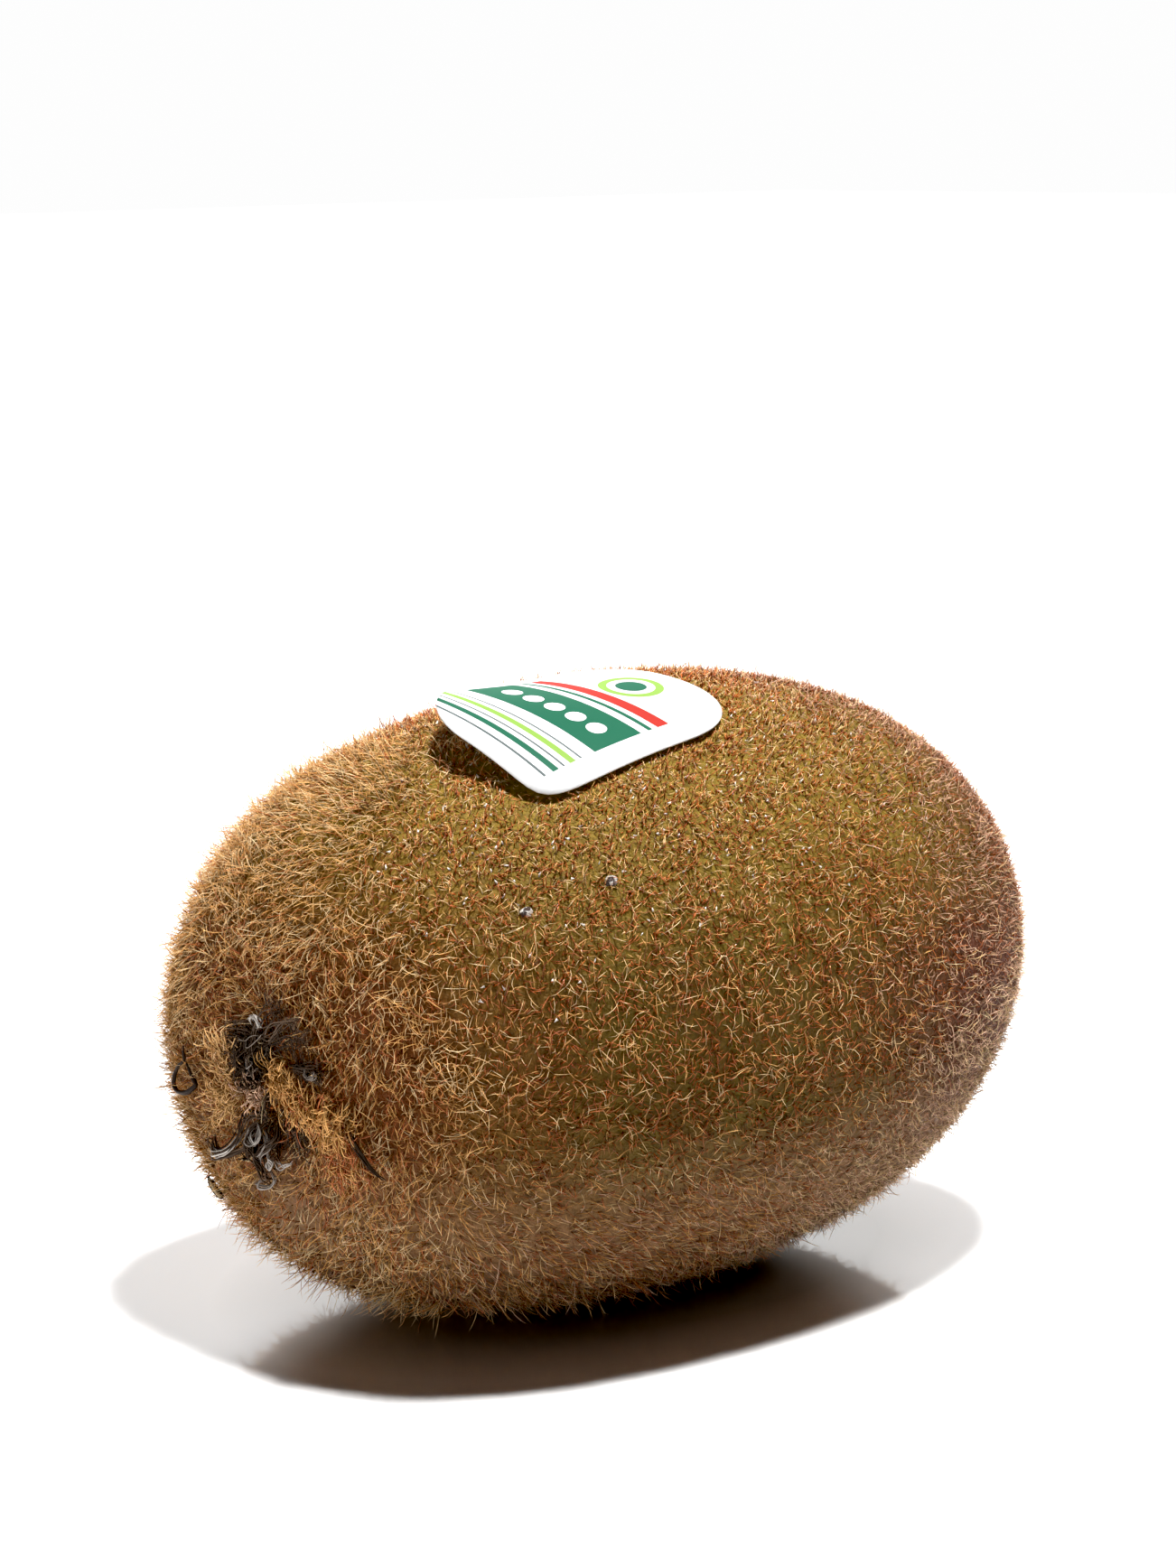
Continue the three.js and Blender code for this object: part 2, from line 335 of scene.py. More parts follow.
@dataclass(frozen=True)
class StrandTemplate:
    """A closed cone cut into rings, whose vertices say which ring and side they belong to."""

    sides: int
    segments: int

    def build(self) -> tuple[Array, Array, Array]:
        """Makes the template once with mesh operators.

        Returns:
            Ring number and angle of each vertex, and the triangles.
        """
        bm = bmesh.new()
        bmesh.ops.create_cone(bm, cap_ends=True, segments=self.sides, radius1=1, radius2=0, depth=1)
        bmesh.ops.translate(bm, verts=bm.verts, vec=(0, 0, 0.5))
        for ring in range(1, self.segments):
            bmesh.ops.bisect_plane(
                bm, geom=bm.verts[:] + bm.edges[:] + bm.faces[:], dist=1e-6,
                plane_co=(0, 0, ring / self.segments), plane_no=(0, 0, 1),
            )
        bmesh.ops.remove_doubles(bm, verts=bm.verts, dist=1e-6)
        bmesh.ops.rotate(bm, verts=bm.verts, matrix=Matrix.Rotation(math.radians(20), 3, "Z"))
        bmesh.ops.recalc_face_normals(bm, faces=bm.faces)
        bmesh.ops.triangulate(bm, faces=bm.faces)
        bm.verts.index_update()
        x, y, z = np.array([v.co for v in bm.verts]).T
        faces = np.array([[v.index for v in f.verts] for f in bm.faces])
        bm.free()
        return np.rint(z * self.segments).astype(int), np.arctan2(y, x), faces

    def bend(self, name: str, paths: Array, radii: Array, tones: Array) -> bpy.types.Object:
        """Bends one strand along every path and joins them in one mesh.

        Args:
            name: Name of the piece.
            paths: Centre lines, strands by rings by 3, in millimetres.
            radii: Radius of each ring of each strand.
            tones: Place of each strand on the tone ramp, 0..1.

        Returns:
            The piece, in metres, with its strand UV map.
        """
        ring, angle, faces = self.build()
        count, size = len(paths), len(ring)
        ahead = np.diff(paths, axis=1)
        ahead = np.concatenate([ahead, ahead[:, -1:]], 1)
        back = np.concatenate([ahead[:, :1], ahead[:, :-1]], 1)
        tangent = unit(unit(ahead) + unit(back))
        guess = np.where(np.abs(tangent[:, 0, 2:]) < 0.8, [[0.0, 0.0, 1.0]], [[1.0, 0.0, 0.0]])
        across = np.empty_like(paths)
        for k in range(paths.shape[1]):
            guess = unit(guess - dot(guess, tangent[:, k]) * tangent[:, k])
            across[:, k] = guess
        upward = np.cross(tangent, across)
        side = across[:, ring] * np.cos(angle)[:, None]
        side = side + upward[:, ring] * np.sin(angle)[:, None]
        points = paths[:, ring] + side * radii[:, ring, None]
        points[..., 2] = np.maximum(points[..., 2], LOWEST)
        index = (faces[None] + (np.arange(count) * size)[:, None, None]).reshape(-1)
        mesh = self.joined(name, points.reshape(-1, 3), index)
        # each strand is a narrow stripe of the map: tone across it, root to tip along it
        u = np.clip(tones, 0.004, 0.996)[:, None] + 0.0025 * np.cos(angle)[None]
        v = np.broadcast_to(0.02 + 0.96 * ring / self.segments, u.shape)
        corners = np.stack([u, v], -1).reshape(-1, 2)[index]
        layer = mesh.uv_layers.new(name=STRAND_UV)
        layer.data.foreach_set("uv", corners.astype(np.float32).reshape(-1))
        mesh.validate()
        return link_piece(name, mesh)

    @staticmethod
    def joined(name: str, points: Array, index: Array) -> bpy.types.Mesh:
        """Copies of the template, already bent, as one mesh.

        Args:
            name: Name of the mesh.
            points: All its vertices, in millimetres.
            index: Vertex numbers of its triangles, one after another.

        Returns:
            The mesh, in metres.
        """
        mesh = bpy.data.meshes.new(name)
        mesh.vertices.add(len(points))
        mesh.vertices.foreach_set("co", (points * MM).astype(np.float32).reshape(-1))
        mesh.loops.add(len(index))
        mesh.loops.foreach_set("vertex_index", index.astype(np.int32))
        mesh.polygons.add(len(index) // 3)
        mesh.polygons.foreach_set("loop_start", np.arange(0, len(index), 3, dtype=np.int32))
        mesh.polygons.foreach_set("use_smooth", np.ones(len(index) // 3, bool))
        mesh.update(calc_edges=True)
        return mesh


def catmull(points: Array, count: int) -> Array:
    """Smooth line through points, resampled.

    Args:
        points: Points to pass through, n by any number of values.
        count: Number of points wanted.

    Returns:
        The resampled line.
    """
    padded = np.vstack([2 * points[0] - points[1], points, 2 * points[-1] - points[-2]])
    where = np.linspace(0, len(points) - 1 - 1e-9, count)
    k = where.astype(int)
    f = (where - k)[:, None]
    p0, p1, p2, p3 = (padded[k + i] for i in range(4))
    square, cube = 2 * p0 - 5 * p1 + 4 * p2 - p3, 3 * p1 - p0 - 3 * p2 + p3
    return 0.5 * (2 * p1 + (p2 - p0) * f + square * f**2 + cube * f**3)


# ---------- nodes and effects ----------


class Nodes:
    """A material's or group's node tree with short ways to add and join nodes."""

    def __init__(self, tree: bpy.types.NodeTree) -> None:
        """Keeps the tree."""
        self.tree = tree

    def add(
        self, kind: str, inputs: dict[str | int, object] | None = None, **settings: object
    ) -> bpy.types.Node:
        """Adds a node.

        Args:
            kind: Node type without the ShaderNode prefix.
            inputs: A value or a socket for each input that isn't left as it is.
            **settings: Properties of the node.

        Returns:
            The new node.
        """
        node = self.tree.nodes.new(kind if kind.startswith("Node") else f"ShaderNode{kind}")
        for key, value in settings.items():
            setattr(node, key, value)
        for key, value in (inputs or {}).items():
            if isinstance(value, bpy.types.NodeSocket):
                self.tree.links.new(value, node.inputs[key])
            else:
                node.inputs[key].default_value = value
        return node

    def link(self, socket: Socket, node: bpy.types.Node, label: str) -> None:
        """Joins a socket to an input of a node."""
        self.tree.links.new(socket, node.inputs[label])

    def spot(self) -> Socket:
        """Place on the piece, in its own object coordinates."""
        return self.add("TexCoord").outputs["Object"]

    def split(self, vector: Socket) -> tuple[Socket, ...]:
        """The three parts of a vector."""
        return tuple(self.add("SeparateXYZ", {0: vector}).outputs)

    def length(self, vector: Socket, scale: tuple[float, float, float]) -> Socket:
        """Length of a vector whose parts are scaled first."""
        scaled = self.add("VectorMath", {0: vector, 1: scale}, operation="MULTIPLY").outputs[0]
        return self.add("VectorMath", {0: scaled}, operation="LENGTH").outputs["Value"]

    def math(self, operation: str, a: object, b: object = 0.0) -> Socket:
        """Result of a maths node on two values or sockets."""
        return self.add("Math", {0: a, 1: b}, operation=operation).outputs[0]

    def times(self, a: object, b: object) -> Socket:
        """Product of two values or sockets."""
        return self.math("MULTIPLY", a, b)

    def mix(self, factor: object, a: object, b: object) -> Socket:
        """Colour mixed from two colours or sockets."""
        return self.add("Mix", {0: factor, 6: a, 7: b}, data_type="RGBA").outputs[2]

    def ramp(self, value: object, stops: list[tuple[float, Colour]]) -> Socket:
        """Colour from a ramp.

        Args:
            value: Place on the ramp.
            stops: Places and colours of its stops, from low to high.

        Returns:
            The colour at the value.
        """
        node = self.add("ValToRGB", {0: value})
        elements = node.color_ramp.elements
        while len(elements) < len(stops):
            elements.new(0.5)
        for element, (place, colour) in zip(elements, stops):
            element.position = place
            element.color = colour
        return node.outputs[0]

    def band(self, value: object, low: float, high: float) -> Socket:
        """One where value lies between low and high, else zero."""
        above = self.math("GREATER_THAN", value, low)
        return self.times(above, self.math("LESS_THAN", value, high))

    def spread(self, value: object, low: float, high: float) -> Socket:
        """Value stretched so that low gives 0 and high gives 1."""
        return self.add("MapRange", {0: value, 1: low, 2: high}).outputs[0]


def new_group(
    name: str, inputs: dict[str, tuple[str, object]], outputs: dict[str, str]
) -> Nodes:
    """Starts a shader node group with named sockets.

    Args:
        name: Name of the group.
        inputs: Socket type and first value for each input.
        outputs: Socket type for each output.

    Returns:
        The group's nodes, with its input and output nodes in place.
    """
    tree = bpy.data.node_groups.new(name, "ShaderNodeTree")
    for label, (kind, value) in inputs.items():
        kind = f"NodeSocket{kind}"
        socket = tree.interface.new_socket(name=label, in_out="INPUT", socket_type=kind)
        if value is not None:
            socket.default_value = value
    for label, kind in outputs.items():
        kind = f"NodeSocket{kind}"
        tree.interface.new_socket(name=label, in_out="OUTPUT", socket_type=kind)
    nodes = Nodes(tree)
    nodes.add("NodeGroupInput", name="in")
    nodes.add("NodeGroupOutput", name="out")
    return nodes


@dataclass
class Effects:
    """Node groups that several finishes share: grain on object coordinates, and hair colour."""

    grain: bpy.types.NodeTree = field(init=False)
    hair_tone: bpy.types.NodeTree = field(init=False)

    def __post_init__(self) -> None:
        """Builds the groups."""
        self.grain = self.build_grain()
        self.hair_tone = self.build_hair_tone()

    @staticmethod
    def build_grain() -> bpy.types.NodeTree:
        """Blotches, fine grain and specks, as masks between 0 and 1.

        Returns:
            The group.
        """
        g = new_group(
            "grain",
            {
                "Vector": ("Vector", None), "Blotch Scale": ("Float", 200.0),
                "Grain Scale": ("Float", 1500.0),
            },
            {"Blotch": "Float", "Grain": "Float", "Speck": "Float"},
        )
        source, out = g.tree.nodes["in"].outputs, g.tree.nodes["out"]
        at_wide = {"Vector": source["Vector"], "Scale": source["Blotch Scale"]}
        at_fine = {"Vector": source["Vector"], "Scale": source["Grain Scale"]}
        blotch = g.add("TexNoise", {**at_wide, "Detail": 4.0, "Roughness": 0.6})
        grain = g.add("TexNoise", {**at_fine, "Detail": 3.0, "Distortion": 0.6})
        speck = g.add("TexVoronoi", at_fine)
        for label, socket, low, high in (
            ("Blotch", blotch.outputs[0], 0.35, 0.65),
            ("Grain", grain.outputs[0], 0.3, 0.7),
            ("Speck", speck.outputs[0], 0.55, 0.1),
        ):
            g.link(g.spread(socket, low, high), out, label)
        return g.tree

    @staticmethod
    def build_hair_tone() -> bpy.types.NodeTree:
        """Colour of a strand from its tone and the place along it, darker at the root.

        Returns:
            The group.
        """
        g = new_group(
            "hair_tone",
            {
                "Tone": ("Float", 0.5), "Along": ("Float", 0.5), "Root Shade": ("Float", 0.5),
                "Tip Glow": ("Float", 0.2),
            },
            {"Color": "Color"},
        )
        source, out = g.tree.nodes["in"].outputs, g.tree.nodes["out"]
        stops, seam = [], 0.005
        for tone in Tone:
            start = tone.value * TONE_STRETCH
            low, high = TONE_ENDS[tone]
            stops += [(start + seam, low), (start + TONE_STRETCH - seam, high)]
        base = g.ramp(source["Tone"], stops)
        shade = g.times(g.spread(source["Along"], 0.75, 0.0), source["Root Shade"])
        darker = g.mix(shade, base, rgb(0.02, 0.01, 0.004))
        glow = g.times(g.spread(source["Along"], 0.4, 1.0), source["Tip Glow"])
        g.link(g.mix(glow, darker, rgb(1.0, 0.86, 0.66)), out, "Color")
        return g.tree


# ---------- finishes ----------


def new_material(
    name: str, roughness: float, specular: float
) -> tuple[bpy.types.Material, Nodes, bpy.types.Node]:
    """Starts a material with one Principled shader.

    Args:
        name: Name of the material.
        roughness: Roughness all over.
        specular: Specular level all over.

    Returns:
        The material, its nodes and its shader.
    """
    material = bpy.data.materials.new(name)
    material.use_nodes = True
    nodes = Nodes(material.node_tree)
    shader = nodes.tree.nodes["Principled BSDF"]
    shader.inputs["Roughness"].default_value = roughness
    shader.inputs["Specular IOR Level"].default_value = specular
    return material, nodes, shader


@dataclass(frozen=True)
class Finish:
    """A procedural finish with one Principled shader."""

    name: str
    effects: Effects
    roughness: float
    specular: float

    def build(self) -> bpy.types.Material:
        """Makes the material.

        Returns:
            The material.
        """
        material, nodes, shader = new_material(self.name, self.roughness, self.specular)
        self.dress(nodes, shader)
        return material

    def dress(self, nodes: Nodes, shader: bpy.types.Node) -> None:
        """Feeds the shader, in the way of each finish."""
        raise NotImplementedError

    def grain(self, nodes: Nodes, blotch: float, fine: float) -> dict[str, Socket]:
        """Masks of the shared grain group.

        Args:
            nodes: Nodes of the material.
            blotch: Scale of the blotches.
            fine: Scale of the grain and the specks.

        Returns:
            The masks by name.
        """
        scales = {"Vector": nodes.spot(), "Blotch Scale": blotch, "Grain Scale": fine}
        return dict(nodes.add("Group", scales, node_tree=self.effects.grain).outputs.items())

    @staticmethod
    def roughen(
        nodes: Nodes, shader: bpy.types.Node, height: Socket, strength: float, distance: float
    ) -> None:
        """Gives the shader a bump.

        Args:
            nodes: Nodes of the material.
            shader: Its shader.
            height: Height, 0 to 1.
            strength: How much of the bump shows.
            distance: Depth of the bump in metres.
        """
        bump = nodes.add("Bump", {"Strength": strength, "Distance": distance, "Height": height})
        nodes.link(bump.outputs[0], shader, "Normal")


@dataclass(frozen=True)
class HairFinish(Finish):
    """Colour of strands: tone across the strand map, root to tip along it."""

    root_shade: float
    tip_glow: float

    def dress(self, nodes: Nodes, shader: bpy.types.Node) -> None:
        """Colours the strands by their map.

        Args:
            nodes: Nodes of the material.
            shader: Its shader.
        """
        tone, along, _ = nodes.split(nodes.add("UVMap", uv_map=STRAND_UV).outputs[0])
        inputs = {
            "Tone": tone, "Along": along, "Root Shade": self.root_shade, "Tip Glow": self.tip_glow,
        }
        group = nodes.add("Group", inputs, node_tree=self.effects.hair_tone)
        nodes.link(group.outputs["Color"], shader, "Base Color")


@dataclass(frozen=True)
class SkinFinish(Finish):
    """Olive-brown skin with its own casts by zone, dark flecks and grain."""

    def dress(self, nodes: Nodes, shader: bpy.types.Node) -> None:
        """Lays the casts of the zones over the olive, then the flecks.

        Args:
            nodes: Nodes of the material.
            shader: Its shader.
        """
        grain = self.grain(nodes, 240.0, 2300.0)
        x, _, z = nodes.split(nodes.spot())
        waving = nodes.add("TexNoise", {"Scale": 90.0, "Vector": nodes.spot()}).outputs[0]
        sunk = nodes.math("SUBTRACT", z, nodes.times(waving, 0.012))
        side = nodes.times(nodes.spread(x, -0.002, 0.014), nodes.spread(sunk, 0.032, 0.018))
        stem_side = nodes.math("MAXIMUM", nodes.spread(x, 0.014, 0.028), side)
        belly = nodes.times(nodes.spread(z, 0.018, 0.010), nodes.spread(x, 0.034, 0.006))
        crown = nodes.times(nodes.spread(z, 0.028, 0.040), nodes.spread(x, 0.027, 0.009))
        colour = nodes.mix(grain["Blotch"], rgb(0.120, 0.085, 0.013), rgb(0.112, 0.058, 0.010))
        for zone, cast in (
            (stem_side, rgb(0.115, 0.036, 0.017)),  # red-brown towards the stem end
            (nodes.spread(x, -0.020, -0.030), rgb(0.170, 0.080, 0.018)),  # tan shoulder
            (nodes.spread(x, -0.0300, -0.0325), rgb(0.150, 0.046, 0.012)),  # russet end face
            (belly, rgb(0.230, 0.120, 0.056)),  # felt
            (nodes.times(crown, 0.8), rgb(0.265, 0.172, 0.024)),  # matted, yellow crown
        ):
            colour = nodes.mix(zone, colour, cast)
        flecked = nodes.mix(grain["Grain"], colour, rgb(0.030, 0.015, 0.004))
        nodes.link(nodes.mix(0.55, colour, flecked), shader, "Base Color")
        self.roughen(nodes, shader, grain["Grain"], 0.8, 0.0002)


@dataclass(frozen=True)
class ScarFinish(Finish):
    """Silvery, slightly glossy crust of a healed spot."""

    def dress(self, nodes: Nodes, shader: bpy.types.Node) -> None:
        """Breaks a pale crust over a dark ground.

        Args:
            nodes: Nodes of the material.
            shader: Its shader.
        """
        grain = self.grain(nodes, 2200.0, 5000.0)
        crust = nodes.spread(grain["Blotch"], 0.48, 0.66)
        colour = nodes.mix(crust, rgb(0.030, 0.012, 0.007), rgb(0.62, 0.56, 0.50))
        nodes.link(colour, shader, "Base Color")
        self.roughen(nodes, shader, grain["Grain"], 0.7, 0.0002)


@dataclass(frozen=True)
class WoodFinish(Finish):
    """Dry, cracked brown wood of the stem button and its sepals."""

    def dress(self, nodes: Nodes, shader: bpy.types.Node) -> None:
        """Mixes two browns and darkens them in specks.

        Args:
            nodes: Nodes of the material.
            shader: Its shader.
        """
        grain = self.grain(nodes, 600.0, 2600.0)
        colour = nodes.mix(grain["Blotch"], rgb(0.045, 0.022, 0.011), rgb(0.170, 0.100, 0.055))
        dark = nodes.mix(grain["Speck"], colour, rgb(0.03, 0.016, 0.009))
        nodes.link(dark, shader, "Base Color")
        self.roughen(nodes, shader, grain["Grain"], 0.9, 0.0003)


@dataclass(frozen=True)
class LabelFinish(Finish):
    """White coated paper printed with plain bars, a ring and dots, placed by the label's map."""

    green: Colour = rgb(0.012, 0.100, 0.055)
    light_green: Colour = rgb(0.20, 0.34, 0.060)
    red: Colour = rgb(0.36, 0.026, 0.018)
    grey: Colour = rgb(0.09, 0.11, 0.11)
    panel: tuple[float, float] = (0.30, 0.52)
    printed: tuple[float, float] = (0.13, 0.87)  # part of the width that bars cover
    ring_centre: tuple[float, float] = (0.79, 0.5)
    ring: tuple[float, float] = (0.085, 0.115)  # inner and outer radius
    disc: float = 0.055
    dot_column: float = 0.41
    dot_rows: tuple[float, ...] = (0.26, 0.38, 0.5, 0.62, 0.74)
    dot_radius: float = 0.036
    squeeze: float = 0.82  # a step across the map against the same step along it

    @property
    def stripes(self) -> tuple[tuple[float, float, Colour], ...]:
        """Stripes printed across the label.

        Returns:
            Where each starts and ends along the label, and its ink.
        """
        return (
            (0.075, 0.085, self.grey), (0.115, 0.140, self.green), (0.160, 0.168, self.grey),
            (0.190, 0.215, self.light_green), (0.235, 0.243, self.grey),
            (0.555, 0.575, self.green), (0.600, 0.655, self.red),
        )

    def dress(self, nodes: Nodes, shader: bpy.types.Node) -> None:
        """Prints the panel, the stripes, the ring and the dots on the paper.

        Args:
            nodes: Nodes of the material.
            shader: Its shader.
        """
        u, v, _ = nodes.split(nodes.add("UVMap", uv_map=LABEL_UV).outputs[0])
        fibre = self.grain(nodes, 900.0, 6000.0)["Blotch"]
        colour = nodes.mix(fibre, rgb(0.66, 0.66, 0.655), rgb(0.62, 0.62, 0.615))
        wide = nodes.band(v, *self.printed)
        for low, high, ink in ((*self.panel, self.green), *self.stripes):
            colour = nodes.mix(nodes.times(nodes.band(u, low, high), wide), colour, ink)
        away = self.circle(nodes, u, v, self.ring_centre)
        colour = nodes.mix(nodes.band(away, *self.ring), colour, self.light_green)
        colour = nodes.mix(nodes.math("LESS_THAN", away, self.disc), colour, self.green)
        for row in self.dot_rows:
            away = self.circle(nodes, u, v, (self.dot_column, row))
            inside = nodes.math("LESS_THAN", away, self.dot_radius)
            colour = nodes.mix(inside, colour, rgb(0.88, 0.88, 0.87))
        nodes.link(colour, shader, "Base Color")

    def circle(self, nodes: Nodes, u: Socket, v: Socket, centre: tuple[float, float]) -> Socket:
        """Distance on the label from a centre.

        Args:
            nodes: Nodes of the material.
            u: Place along the label.
            v: Place across it.
            centre: Where both are at the centre.

        Returns:
            The distance, in parts of the label's length.
        """
        du = nodes.math("SUBTRACT", u, centre[0])
        dv = nodes.times(nodes.math("SUBTRACT", v, centre[1]), self.squeeze)
        return nodes.math("SQRT", nodes.math("ADD", nodes.times(du, du), nodes.times(dv, dv)))


# ---------- pieces ----------


def finish_piece(
    piece: bpy.types.Object, material: bpy.types.Material, replaces: str = ""
) -> None:
    """Dresses a piece and ties it to the frame.

    Args:
        piece: The piece.
        material: Its only material.
        replaces: CAD node that it stands for, if any.
    """
    piece.data.materials.append(material)
    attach(piece, "root")
    if replaces:
        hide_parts(replaces)
    LOG.info("%s: %d faces", piece.name, len(piece.data.polygons))


def link_piece(name: str, data: bpy.types.ID) -> bpy.types.Object:
    """Puts a mesh, lamp or camera in the scene.

    Args:
        name: Name of the object.
        data: What it shows.

    Returns:
        The object, at the origin.
    """
    piece = bpy.data.objects.new(name, data)
    bpy.context.scene.collection.objects.link(piece)
    return piece


def lay(bm: bmesh.types.BMesh, points: Array) -> None:
    """Moves the vertices to points in millimetres and makes them metres."""
    for vert, point in zip(bm.verts, points):
        vert.co = Vector(point) * MM


def link_mesh(name: str, bm: bmesh.types.BMesh) -> bpy.types.Object:
    """Turns a bmesh into a piece with smooth faces that point outwards.

    Args:
        name: Name of the piece.
        bm: Its shape in metres, freed afterwards.

    Returns:
        The piece.
    """
    bmesh.ops.recalc_face_normals(bm, faces=bm.faces)
    mesh = bpy.data.meshes.new(name)
    bm.to_mesh(mesh)
    bm.free()
    mesh.polygons.foreach_set("use_smooth", np.ones(len(mesh.polygons), bool))
    return link_piece(name, mesh)


# ---------- skin ----------


@dataclass(frozen=True)
class FruitSkin:
    """The bare skin, one closed surface with its flat spot, and two healed spots on it."""

    form: FruitForm
    around: int = 144
    along: int = 88
    lumps: float = 0.10  # heights of two scales of unevenness
    ripples: float = 0.035
    pole: float = 0.9999  # past this place an end has no direction to swell in
    scars: tuple[tuple[float, float, float], ...] = (  # along the axis, degrees round it, size
        (-24.2, 140.5, 0.38), (-17.8, 141.4, 0.42),
    )

    def even_places(self) -> tuple[Array, Array]:
        """Table of v against the share of the way along a meridian.

        Returns:
            The shares and the v of each.
        """
        v = np.linspace(-1, 1, 4001)
        line = self.form.local(self.form.axial(v), np.zeros_like(v))
        steps = np.linalg.norm(np.diff(line, axis=0), axis=1)
        way = np.concatenate([[0], np.cumsum(steps)])
        return way / way[-1], v

    def build(self) -> bpy.types.Object:
        """Shapes a sphere into the skin.

        Returns:
            The skin, one closed surface.
        """
        bm = bmesh.new()
        bmesh.ops.create_uvsphere(bm, u_segments=self.around, v_segments=self.along, radius=1)
        quarter = Matrix.Rotation(math.radians(90), 3, "Y")
        bmesh.ops.rotate(bm, verts=bm.verts, matrix=quarter)
        round_place = np.array([v.co for v in bm.verts])
        share = 1 - np.arccos(np.clip(round_place[:, 0], -1, 1)) / math.pi
        way, v = self.even_places()
        a = np.arctan2(round_place[:, 2], round_place[:, 1])
        points, normal, _, _ = self.form.frames(np.interp(share, way, v), a)
        for k, vert in enumerate(bm.verts):
            place = Vector(points[k])
            swell = self.lumps * noise.noise(place * 0.22)
            swell += self.ripples * noise.noise(place * 1.1)
            if abs(round_place[k, 0]) < self.pole:
                place = place + Vector(normal[k]) * swell
            place.z = max(place.z, 0.0)
            vert.co = place * MM
        return link_mesh("fruit_skin", bm)

    def build_scars(self) -> bpy.types.Object:
        """Low, crusted grains half sunk into the skin.

        Returns:
            The grains, as one piece.
        """
        bm = bmesh.new()
        for x, degrees, size in self.scars:
            v = self.form.evened(np.array([x / (self.form.length / 2)]))
            frame = self.form.frames(v, np.radians([degrees]))
            point, normal, along, around = (part[0] for part in frame)
            grown = bmesh.ops.create_icosphere(bm, subdivisions=3, radius=size)["verts"]
            turn = Matrix([along * 1.25, around, normal * 0.85]).transposed()
            for vert in grown:
                rough = 1 + 0.32 * noise.noise(vert.co * 3.1 + Vector((x, 0, 0)))
                vert.co = (turn @ (vert.co * rough) + Vector(point)) * MM
        return link_mesh("skin_scars", bm)


# ---------- label ----------


